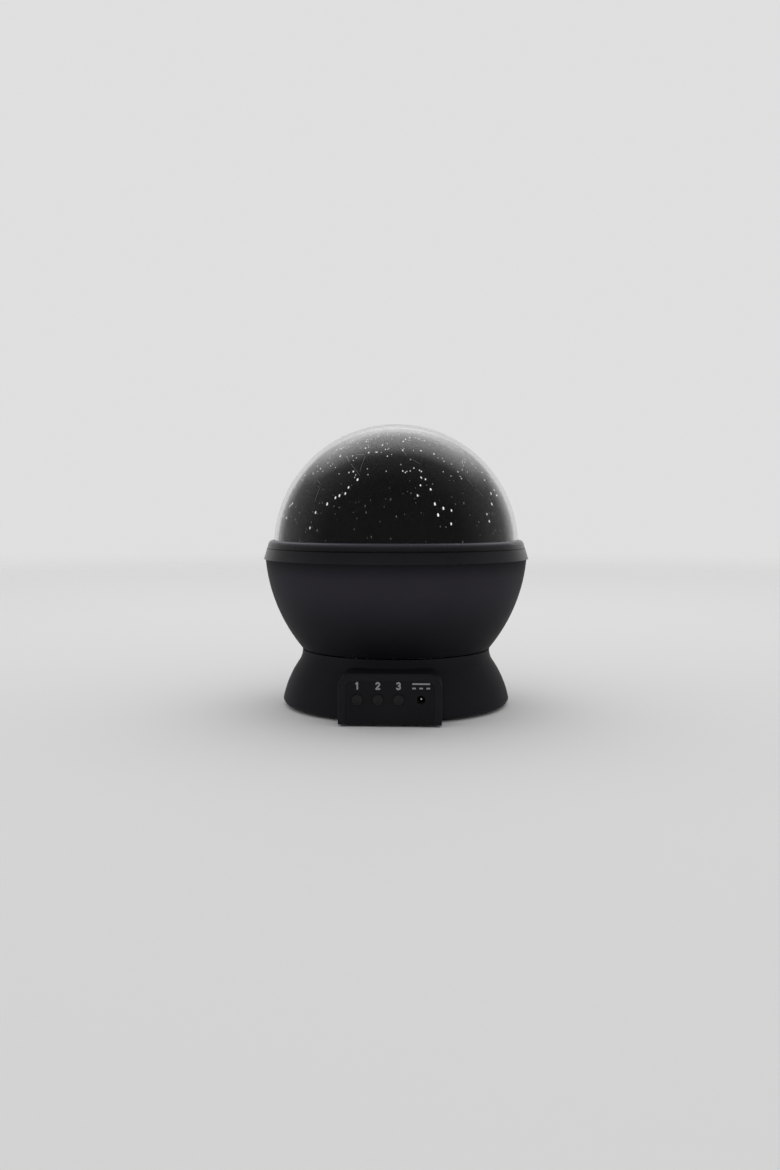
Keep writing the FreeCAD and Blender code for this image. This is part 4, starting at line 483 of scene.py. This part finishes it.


# %% Materials by slot
# Painted shade on the bowl: darkest towards the neck and under the rim, palest where the bowl is widest.
BOWL_PAINTED_SHADE = ((34, 0.38), (42, 0.52), (50, 0.80), (57, 1.0), (63, 0.97), (66, 0.72), (69, 0.42))
# Painted light on the ring and rim: a painted highlight along the ring's shoulder, and a painted shadow in
# the seam between ring and rim.
RIM_PAINTED_HIGHLIGHT_AND_SHADOW = ((70, 0.17), (72, 0.15), (74.8, 0.12), (75.1, 0.03), (75.6, 0.03), (75.9, 0.12), (76.8, 0.13),
             (77.6, 0.35), (78.9, 1.0))
FINISHES = {
    "black_shell": plastic("satin_black_base", (0.0088, 0.0080, 0.0112), 0.58, specular=0.10),
    # The bowl's colour times its painted shade over the height.
    "black_bowl": plastic("satin_black_bowl", (0.0205, 0.0188, 0.0252), 0.60, depth=0.005, specular=0.08,
                          painted_light=BOWL_PAINTED_SHADE),
    # The rim's colour is as pale as the painted highlight at the shoulder; the painted shade brings the rest
    # back to black.
    "black_rim": plastic("glossy_black_rim", (0.058, 0.054, 0.070), 0.30, depth=0.002, worn=0.25,
                         specular=0.45, painted_light=RIM_PAINTED_HIGHLIGHT_AND_SHADOW),
    "black_panel": plastic("satin_black_panel", (0.0062, 0.0059, 0.0072), 0.50, specular=0.10),
    "black_plate": plastic("coarse_black", (0.011, 0.0105, 0.0115), 0.62, grain=0.6, depth=0.02, dust=0.2),
    "button_black": plastic("button_black", (0.0075, 0.0072, 0.0082), 0.42, depth=0.003, specular=0.22),
    "rubber_feet": plastic("foot_rubber", (0.02, 0.02, 0.02), 0.85, grain=0.4, depth=0.015, dust=0.5,
                           specular=0.25),
    "dome_clear": clear_plastic("clear_dome_plastic", 0.02, 1.45, clear=0.80, sheen=0.16,
                                sheen_roughness=0.35),
    "dome_black": plastic("black_film", (0.002, 0.002, 0.0022), 0.35, depth=0.0, dust=0.0, worn=0.0,
                          specular=0.05),
    "screw_steel": metal("zinc_screws", (0.56, 0.56, 0.57), 0.35),
    "pin_nickel": metal("nickel_pin", (0.82, 0.80, 0.76), 0.16),
    "contact_nickel": metal("nickel_contacts", (0.70, 0.68, 0.63), 0.28),
    "terminal_brass": metal("brass_terminals", (0.74, 0.55, 0.26), 0.3),
    "motor_steel": metal("drawn_motor_can", (0.6, 0.6, 0.61), 0.33),
    "board_green": circuit_board("green_board", (0.012, 0.11, 0.045), (0.03, 0.2, 0.08)),
    "board_white": circuit_board("white_board", (0.78, 0.78, 0.76), (0.66, 0.66, 0.64)),
    "switch_black": plastic("switch_black", (0.02, 0.02, 0.02), 0.45),
    "capacitor_sleeve": plastic("capacitor_sleeve", (0.02, 0.03, 0.09), 0.3, depth=0.001),
    "cell_jacket": cell_jacket("cell_jacket"),
    "gear_white": plastic("acetal_white", (0.72, 0.72, 0.68), 0.42, depth=0.003, specular=0.45),
    "washer_white": plastic("slippery_washer", (0.8, 0.8, 0.78), 0.3),
    "post_white": plastic("post_white", (0.7, 0.7, 0.67), 0.45),
    "deck_white": plastic("reflector_white", (0.76, 0.76, 0.74), 0.2, depth=0.002, dust=0.15),
    "lamp_clear": clear_plastic("lamp_epoxy", 0.08, 1.5),
    "lead_red": plastic("lead_red", (0.42, 0.02, 0.02), 0.4, depth=0.002),
    "lead_black": plastic("lead_black", (0.02, 0.02, 0.02), 0.4, depth=0.002),
}
# The windows' pale colours and glows are painted light: no light source inside the dome shines through them.
BRIGHT_WINDOW = lit_window("bright_star_windows", (0.95, 0.95, 0.93), 1.3)
FAINT_WINDOW = lit_window("faint_star_windows", (0.34, 0.34, 0.33), 0.16)
LINE_WINDOW = lit_window("line_windows", (0.40, 0.40, 0.39), 0.12)
PRINT = plastic("pale_print", (0.22, 0.22, 0.232), 0.5, depth=0.001, dust=0.05, worn=0.0)


def dress_nodes():
    """Give each solid the finish of its slot."""
    for part in frame["record"]["subparts"]:
        node = frame["nodes"][part["node"]]
        finish = FINISHES[part["material_slot"]]
        if not node.material_slots:
            node.data.materials.append(finish)
        for slot in node.material_slots:
            slot.material = finish
    print("dressed %d nodes in %d finishes" % (len(frame["nodes"]), len(FINISHES)))


dress_nodes()

# %% [markdown]
# ## The clear dome
#
# On the real lamp this is one vacuum-formed or moulded clear shell with a short upright skirt and a
# flange, which the lock ring holds down. Clear plastic shows every facet of a coarse mesh as a bent
# reflection, so the dome is turned again here on a fine grid: the outer quarter circle, the flange,
# and the inner quarter circle make one closed line from pole to pole.

# %% Domes
DOME_WALL = 1.4 * MM
FILM_WALL = 1.0 * MM
CLEAR_FLANGE_DEEP = 1.5 * MM
DOME_STEPS = 72

clear_low, clear_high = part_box("clear_dome")
film_low, film_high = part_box("star_dome")
dome_middle = clear_low.z + CLEAR_FLANGE_DEEP
clear_radius = clear_high.z - dome_middle
film_radius = film_high.z - dome_middle
print("domes: centre at %.2f mm, radii %.2f and %.2f mm"
      % (dome_middle / MM, clear_radius / MM, film_radius / MM))


def dome_profile(radius, wall, flange_top, flange_low, flange_radius):
    """From pole to pole: outer quarter circle, skirt and flange, then inner quarter circle."""
    outer = arc((0, dome_middle), radius, 90, 0, DOME_STEPS)
    inner = arc((0, dome_middle), radius - wall, 0, 90, DOME_STEPS)
    flange = [(radius, flange_top)] if flange_top < dome_middle else []
    flange += [(flange_radius, flange_top), (flange_radius, flange_low), (radius - wall, flange_low)]
    return np.concatenate([outer, flange, inner])


profile = dome_profile(clear_radius, DOME_WALL, dome_middle, clear_low.z, clear_high.x)
clear_dome = turned_piece("clear_dome_fine", profile, FINISHES["dome_clear"])
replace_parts(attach(clear_dome, "cover"), "clear_dome")
profile = dome_profile(film_radius, FILM_WALL, film_low.z + FILM_WALL, film_low.z, film_high.x)
star_dome = turned_piece("star_dome_fine", profile, FINISHES["dome_black"])
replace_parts(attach(star_dome, "cover"), "star_dome")

# %% [markdown]
# ## The stars
#
# The real dome is printed black with hundreds of small clear windows: a few large, many small. The flat
# print is stretched when the dome is formed, so a window near the rim is longer up and down than one at
# the top. Each window is a thin lens on the film. All of them are worked out at once: a direction on
# the sphere, a size from a steep distribution, and a ring of points in the tangent plane.
# The bright ones stand in loose figures and as a fine spray about the top, and thin lines join a few.

# %% Where the stars are
STAR_COUNT = 860
STAR_SMALL = 0.16 * MM
STAR_LARGE = 0.34 * MM
SPRAY_POLAR = 1.0
FIGURES_ROUND = 4
FIGURE_DRIFT = 3.0
FIGURE_SMALL = 0.26 * MM
FIGURE_LARGE = 0.42 * MM
LEFT_FIGURE = [(-18, 33), (-22, 29), (-23, 26), (-26, 25), (-28, 24), (-32, 21), (-38, 17), (-40, 10)]
RIGHT_FIGURE = [(15, 30), (13, 25), (20, 28), (21, 21), (25, 19), (29, 18), (22, 16), (28, 12)]
FIGURE_STARS = np.array(LEFT_FIGURE + RIGHT_FIGURE)
random = np.random.default_rng(29)


def directions(polar, azimuth):
    """Unit vectors from the angle off the pole and the angle about it."""
    flat = np.sin(polar)
    return np.stack([flat * np.cos(azimuth), flat * np.sin(azimuth), np.cos(polar)], axis=-1)


def scattered_stars():
    """Heights that crowd a little towards the top. A fifth power of an even number keeps large ones few."""
    polar = np.arccos(1 - 0.97 * random.uniform(0, 1, STAR_COUNT) ** 1.6)
    azimuth = random.uniform(0, 2 * np.pi, STAR_COUNT)
    return polar, azimuth, STAR_SMALL + (STAR_LARGE - STAR_SMALL) * random.uniform(0, 1, STAR_COUNT) ** 5


def figure_stars():
    """Two loose figures of brighter stars, in degrees round and up, carried round the dome with a drift."""
    turn = -90 + np.arange(FIGURES_ROUND)[:, None] * 360 / FIGURES_ROUND
    drift = random.uniform(-FIGURE_DRIFT, FIGURE_DRIFT, (2, FIGURES_ROUND, len(FIGURE_STARS)))
    drift[:, 0] = 0
    azimuth = np.radians(turn + FIGURE_STARS[:, 0] + drift[0])
    polar = np.radians(90 - FIGURE_STARS[:, 1] + drift[1])
    return polar, azimuth, random.uniform(FIGURE_SMALL, FIGURE_LARGE, polar.shape)


polar, azimuth, star_size = (np.concatenate([wide, near.ravel()]) for wide, near in
                             zip(scattered_stars(), figure_stars()))
bright = (np.arange(len(polar)) >= STAR_COUNT) | (polar < SPRAY_POLAR)
print("stars: %d, of which %d bright" % (len(star_size), np.sum(bright)))

# %% Star windows
STAR_RING = 10
STAR_PROUD = 0.04 * MM
STAR_DEEP = 0.10 * MM
STRETCH_AT_RIM = 1.0


def on_dome(vectors, lift):
    """Points on the black dome's outer face, raised by a lift, along vectors of any length."""
    length = np.linalg.norm(vectors, axis=-1, keepdims=True)
    return vectors / length * (film_radius + lift) + np.array([0, 0, dome_middle])


def star_windows(name, polar, azimuth, size, material):
    """Each window: a ring of points, longer along the meridian towards the rim, a tip above and one below."""
    out = directions(polar, azimuth)[:, None, :]
    across = directions(np.full_like(polar, np.pi / 2), azimuth + np.pi / 2)[:, None, :]
    along = directions(polar + np.pi / 2, azimuth)[:, None, :]
    turn = np.linspace(0, 2 * np.pi, STAR_RING, endpoint=False)[None, :, None]
    half = (size / film_radius)[:, None, None]
    longer = half * (1 + STRETCH_AT_RIM * np.sin(polar)[:, None, None] ** 2)
    ring = on_dome(out + half * np.cos(turn) * across + longer * np.sin(turn) * along, STAR_PROUD / 2)
    points = np.concatenate([ring, on_dome(out, STAR_PROUD), on_dome(out, -STAR_DEEP)], axis=1)
    first = np.arange(STAR_RING)
    second = (first + 1) % STAR_RING
    upper = np.stack([first, second, np.full(STAR_RING, STAR_RING)], axis=-1)
    lower = np.stack([second, first, np.full(STAR_RING, STAR_RING + 1)], axis=-1)
    starts = np.arange(len(size))[:, None, None] * (STAR_RING + 2)
    faces = (np.concatenate([upper, lower])[None] + starts).reshape(-1, 3)
    return new_piece(name, points, faces, material)


for name, chosen, window in (("bright_stars", bright, BRIGHT_WINDOW), ("faint_stars", ~bright, FAINT_WINDOW)):
    stars = star_windows(name, polar[chosen], azimuth[chosen], star_size[chosen], window)
    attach(stars, "cover")

# %% Figures of stars
LINE_HALF_WIDE = 0.08 * MM
LINE_STEPS = 10
LINE_GAP = 0.08
LINES = np.array([[(-32, 47), (-27, 43), (-16, 34)], [(-26, 48), (-18, 48), (-18, 36)],
                  [(5, 54), (10, 46), (18, 41)], [(44, 34), (47, 29), (52, 24)]])


def figure_lines():
    """Thin lines from star to star, in degrees round and up, carried round the dome with a drift."""
    turn = -90 + np.arange(FIGURES_ROUND)[:, None, None] * 360 / FIGURES_ROUND
    drift = random.uniform(-FIGURE_DRIFT, FIGURE_DRIFT, (2, FIGURES_ROUND) + LINES.shape[:2])
    drift[:, 0] = 0
    azimuth = np.radians(turn + LINES[..., 0] + drift[0])
    corners = directions(np.radians(90 - LINES[..., 1] + drift[1]), azimuth)
    start, stop = corners[:, :, :-1].reshape(-1, 3), corners[:, :, 1:].reshape(-1, 3)
    share = np.linspace(LINE_GAP, 1 - LINE_GAP, LINE_STEPS)[None, :, None]
    way = start[:, None] * (1 - share) + stop[:, None] * share
    side = np.cross(start, stop)
    side /= np.linalg.norm(side, axis=-1, keepdims=True)
    taper = np.ones((1, LINE_STEPS, 1))
    taper[:, [0, -1]] = 0
    aside = side[:, None] * taper * LINE_HALF_WIDE / film_radius
    lift = taper * STAR_PROUD / 2
    points = np.stack([on_dome(way + aside, 0), on_dome(way, lift), on_dome(way - aside, 0),
                       on_dome(way, -lift)], axis=2)
    starts = np.arange(len(start))[:, None, None] * LINE_STEPS * 4
    faces = (grid_faces(LINE_STEPS, 4)[None] + starts).reshape(-1, 4)
    return new_piece("figure_lines", points, faces, LINE_WINDOW)


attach(figure_lines(), "cover")

# %% [markdown]
# ## Buttons and marks on the control panel
#
# Each button is a small turned cap with a shallow dish for a fingertip and a rounded rim. Its profile
# is carried round an axis along Y. The marks beside the buttons are plain numbers, and the inlet has
# the general sign for direct current: a bar over three dashes. They stand a few hundredths of a
# millimetre off the panel, as thick printing ink does.

# %% Buttons
BUTTON_DISH = 0.22 * MM
BUTTON_LIP = 0.45 * MM
BUTTON_FLANGE = 0.8 * MM
BUTTON_STEM = 0.6 * MM
CAP_RADIUS = 2.4 * MM
CAP_STEPS = 64
STEM_RADIUS = 1.4 * MM


def button_cap(number):
    """A button turned about Y: dish, rounded lip, side, flange and stem."""
    name = "button_%d" % number
    low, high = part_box(name)
    flange = (high.x - low.x) / 2
    long = high.y - low.y
    dish = np.linspace(0, 1, 14)
    dish = np.stack([dish * (CAP_RADIUS - BUTTON_LIP), BUTTON_DISH * (1 - dish ** 2) ** 1.5], axis=-1)
    lip = arc((CAP_RADIUS - BUTTON_LIP, BUTTON_LIP), BUTTON_LIP, -90, 0, 8)
    body = [(CAP_RADIUS, long - BUTTON_STEM - BUTTON_FLANGE), (flange, long - BUTTON_STEM - BUTTON_FLANGE),
            (flange, long - BUTTON_STEM), (STEM_RADIUS, long - BUTTON_STEM), (STEM_RADIUS, long), (0, long)]
    profile = np.concatenate([dish, lip, body])
    points = round_z(profile, CAP_STEPS)
    middle = ((low.x + high.x) / 2, (low.z + high.z) / 2)
    placed = np.stack([middle[0] + points[..., 0], low.y + points[..., 2], middle[1] + points[..., 1]],
                      axis=-1)
    faces = grid_faces(len(profile), CAP_STEPS)
    cap = new_piece(name + "_cap", placed, faces, FINISHES["button_black"])
    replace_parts(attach(cap, name), name)


for number in (1, 2, 3):
    button_cap(number)

# %% Marks
MARK_TALL = 3.2 * MM
MARK_HALF = 0.35 * MM
MARK_HIGH = 17.9 * MM
MARK_THICK = 0.04 * MM
END_STEPS = 6
SIGN_WIDE = 7.6 * MM
SIGN_TALL = 1.9 * MM
SIGN_LINE = 0.68 * MM
INLET_X = 13.5 * MM

panel_low, panel_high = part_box("control_panel")
panel_front = panel_low.y


def stroke(points, thick):
    """A flat line with round ends: across the path by half its width, out of the panel by its thickness."""
    points = np.asarray(points, dtype=float)
    along = np.gradient(points, axis=0)
    along /= np.linalg.norm(along, axis=1, keepdims=True)
    across = np.stack([-along[:, 1], along[:, 0]], axis=-1)
    quarter = np.linspace(0, np.pi / 2, END_STEPS)
    end, tip = np.sin(quarter), np.cos(quarter)[:, None]
    head = points[:1] - along[:1] * MARK_HALF * tip
    tail = points[-1:] + along[-1:] * MARK_HALF * tip[::-1]
    line = np.concatenate([head, points[1:-1], tail])
    first, last = (np.repeat(across[row], END_STEPS, axis=0) for row in (slice(0, 1), slice(-1, None)))
    side = np.concatenate([first, across[1:-1], last])
    wide = np.concatenate([end, np.ones(len(points) - 2), end[::-1]])[:, None] * side * MARK_HALF
    flat = np.stack([line - wide, line + wide, line + wide, line - wide], axis=1)
    out = np.broadcast_to([0, 0, -thick, -thick], flat.shape[:2])
    return np.stack([flat[..., 0], panel_front + out, flat[..., 1]], axis=-1)


def number_mark(name, middle, strokes):
    """A number from its strokes, in shares of its height. Each is thinner than the last, so none coincide."""
    points, faces, start = [], [], 0
    for order, path in enumerate(strokes):
        line = stroke(np.asarray(path) * MARK_TALL + np.array([middle, MARK_HIGH]), MARK_THICK / (1 + order))
        rows = len(line)
        caps = np.array([[0, 1, 2, 3], [4 * rows - 1, 4 * rows - 2, 4 * rows - 3, 4 * rows - 4]])
        faces.append(np.concatenate([grid_faces(rows, 4), caps]) + start)
        points.append(line.reshape(-1, 3))
        start += 4 * rows
    return new_piece(name, np.concatenate(points), np.concatenate(faces), PRINT)


TWO_BOW = arc((0, 0.21), 0.22, 165, -35, 14)
THREE_TOP = arc((-0.02, 0.22), 0.21, 150, -80, 14)
THREE_LOW = arc((-0.02, -0.20), 0.235, 80, -150, 14)
NUMBERS = {
    "1": [[(-0.13, 0.28), (0, 0.42), (0.03, 0.43)], [(0.03, 0.43), (0.03, 0), (0.03, -0.43)]],
    "2": [np.concatenate([TWO_BOW, [(-0.08, -0.24), (-0.22, -0.41)]]),
          [(-0.22, -0.42), (0, -0.42), (0.24, -0.42)]],
    "3": [THREE_TOP, THREE_LOW],
}


def direct_current_sign():
    """A bar over three dashes, as thin boxes worked out from their middles and widths."""
    dash = SIGN_WIDE / 5
    middles = np.array([[0, SIGN_TALL / 2], [-2 * dash, -SIGN_TALL / 2], [0, -SIGN_TALL / 2],
                        [2 * dash, -SIGN_TALL / 2]])
    widths = np.array([SIGN_WIDE, dash, dash, dash])
    corner = np.array([[x, y, z] for x in (-0.5, 0.5) for y in (0, -1) for z in (-0.5, 0.5)])
    scale = np.stack([widths, np.full(4, MARK_THICK), np.full(4, SIGN_LINE)], axis=-1)
    place = np.stack([INLET_X + middles[:, 0], np.full(4, panel_front), MARK_HIGH + middles[:, 1]], axis=-1)
    points = place[:, None] + corner[None] * scale[:, None]
    sides = np.array([[0, 1, 3, 2], [4, 6, 7, 5], [0, 4, 5, 1], [2, 3, 7, 6], [0, 2, 6, 4], [1, 5, 7, 3]])
    faces = (sides[None] + np.arange(4)[:, None, None] * 8).reshape(-1, 4)
    return new_piece("mark_direct_current", points, faces, PRINT)


for number, strokes in NUMBERS.items():
    low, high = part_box("button_" + number)
    mark = number_mark("mark_" + number, (low.x + high.x) / 2, strokes)
    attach(mark, "base")
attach(direct_current_sign(), "base")

# %% [markdown]
# ## Studio
#
# A glossy black thing shows its room more than its colour. The picture has a pale table, a pale wall
# behind it and a dark room on the camera's side: the bowl leans over and mirrors the table, so it is the
# palest of the black parts, while the rim and the base lean back and mirror the dark room. The dome
# mirrors the wall along its edge only. So the floor here is a pale round sheet that fades out into a
# pale background, one wide soft light stands above and behind, and what is mirrored from the camera's
# side is dark.

# %% Floor
FLOOR_RADIUS = 1.8
FLOOR_FADES = 0.45
FLOOR_PALE = 0.74
FLOOR_MIDDLE = 0.05
FLOOR_RINGS = 16
FLOOR_STEPS = 64


def studio_floor():
    """A disc whose shader turns clear towards its edge, so that the background takes over softly."""
    radius = np.concatenate([[0], np.geomspace(FLOOR_MIDDLE, FLOOR_RADIUS, FLOOR_RINGS)])
    points = round_z(np.stack([radius, 0 * radius], axis=-1), FLOOR_STEPS)
    material, tree, shader = new_material("studio_paper", Roughness=0.8, Specular_IOR_Level=0.2)
    mottle = noise_node(tree, object_place(tree), 3.0, 2.0)
    paler, darker = (FLOOR_PALE,) * 3, (FLOOR_PALE - 0.02,) * 3
    tree.links.new(mix_colour(tree, mottle, darker, paler), shader.inputs["Base Color"])
    away = tree.nodes.new("ShaderNodeVectorMath")
    away.operation = "LENGTH"
    tree.links.new(object_place(tree), away.inputs[0])
    blend = tree.nodes.new("ShaderNodeMixShader")
    tree.links.new(smooth_fade(tree, away.outputs["Value"], FLOOR_FADES, FLOOR_RADIUS), blend.inputs["Fac"])
    tree.links.new(shader.outputs["BSDF"], blend.inputs[1])
    tree.links.new(tree.nodes.new("ShaderNodeBsdfTransparent").outputs[0], blend.inputs[2])
    tree.links.new(blend.outputs[0], tree.nodes["Material Output"].inputs["Surface"])
    floor = new_piece("studio_floor", points, grid_faces(len(radius), FLOOR_STEPS), material)
    if floor.data.polygons[0].normal.z < 0:
        floor.data.flip_normals()


studio_floor()

# %% Lights
WORLD_FILL = 0.78
WORLD_SEEN = 0.74
LIGHT_FADES = (0.15, 0.5, 1.6, 0.0)
ROOM = ((-0.4, 0.11), (0.2, 0.25), (0.56, 0.28), (0.80, WORLD_SEEN))


def add_light(name, place, target, wide, tall, power):
    """An oval soft light that looks from a place to a target and fades out towards its edge."""
    data = bpy.data.lights.new(name, "AREA")
    data.shape = "ELLIPSE"
    data.size = wide
    data.size_y = tall
    data.energy = power
    data.use_nodes = True
    tree = data.node_tree
    away = tree.nodes.new("ShaderNodeVectorMath")
    away.operation = "DISTANCE"
    away.inputs[1].default_value = (0.5, 0.5, 0)
    tree.links.new(tree.nodes.new("ShaderNodeNewGeometry").outputs["Parametric"], away.inputs[0])
    fade = smooth_fade(tree, away.outputs["Value"], *LIGHT_FADES)
    tree.links.new(fade, tree.nodes["Emission"].inputs["Strength"])
    light = bpy.data.objects.new(name, data)
    bpy.context.collection.objects.link(light)
    light.location = place
    light.rotation_euler = (Vector(target) - Vector(place)).to_track_quat("-Z", "Y").to_euler()


def add_world():
    """Pale to the camera, a little dimmer as fill, and in gloss and glass pale behind but dark in front."""
    world = bpy.data.worlds.new("world")
    bpy.context.scene.world = world
    world.use_nodes = True
    tree = world.node_tree
    path = tree.nodes.new("ShaderNodeLightPath")
    split = tree.nodes.new("ShaderNodeSeparateXYZ")
    tree.links.new(tree.nodes.new("ShaderNodeTexCoord").outputs["Generated"], split.inputs[0])
    room = tree.nodes.new("ShaderNodeValToRGB")
    for depth, level in ROOM:
        stop = room.color_ramp.elements.new((depth + 1) / 2)
        stop.color = (level, level, level, 1)
    room.color_ramp.elements.remove(room.color_ramp.elements[0])
    room.color_ramp.elements.remove(room.color_ramp.elements[-1])
    tree.links.new(math_node(tree, "MULTIPLY_ADD", split.outputs["Y"], 0.5, 0.5), room.inputs["Fac"])
    seen = path.outputs["Is Camera Ray"]
    mirrored, through = path.outputs["Is Glossy Ray"], path.outputs["Is Transmission Ray"]
    unseen = math_node(tree, "SUBTRACT", 1.0, seen)
    bent = math_node(tree, "MULTIPLY", unseen, math_node(tree, "ADD", mirrored, through, clamp=True))
    filled = math_node(tree, "SUBTRACT", unseen, bent)
    strength = math_node(tree, "MULTIPLY", filled, WORLD_FILL)
    strength = math_node(tree, "MULTIPLY_ADD", bent, room.outputs["Color"], strength)
    strength = math_node(tree, "MULTIPLY_ADD", seen, WORLD_SEEN, strength)
    tree.links.new(strength, tree.nodes["Background"].inputs["Strength"])
    tree.nodes["Background"].inputs["Color"].default_value = (1, 1, 1, 1)


add_light("overhead", (0, 0.55, 0.95), (0, 0, 0.1), 2.6, 1.3, 5.0)
add_world()
bpy.context.scene.view_settings.view_transform = "Standard"
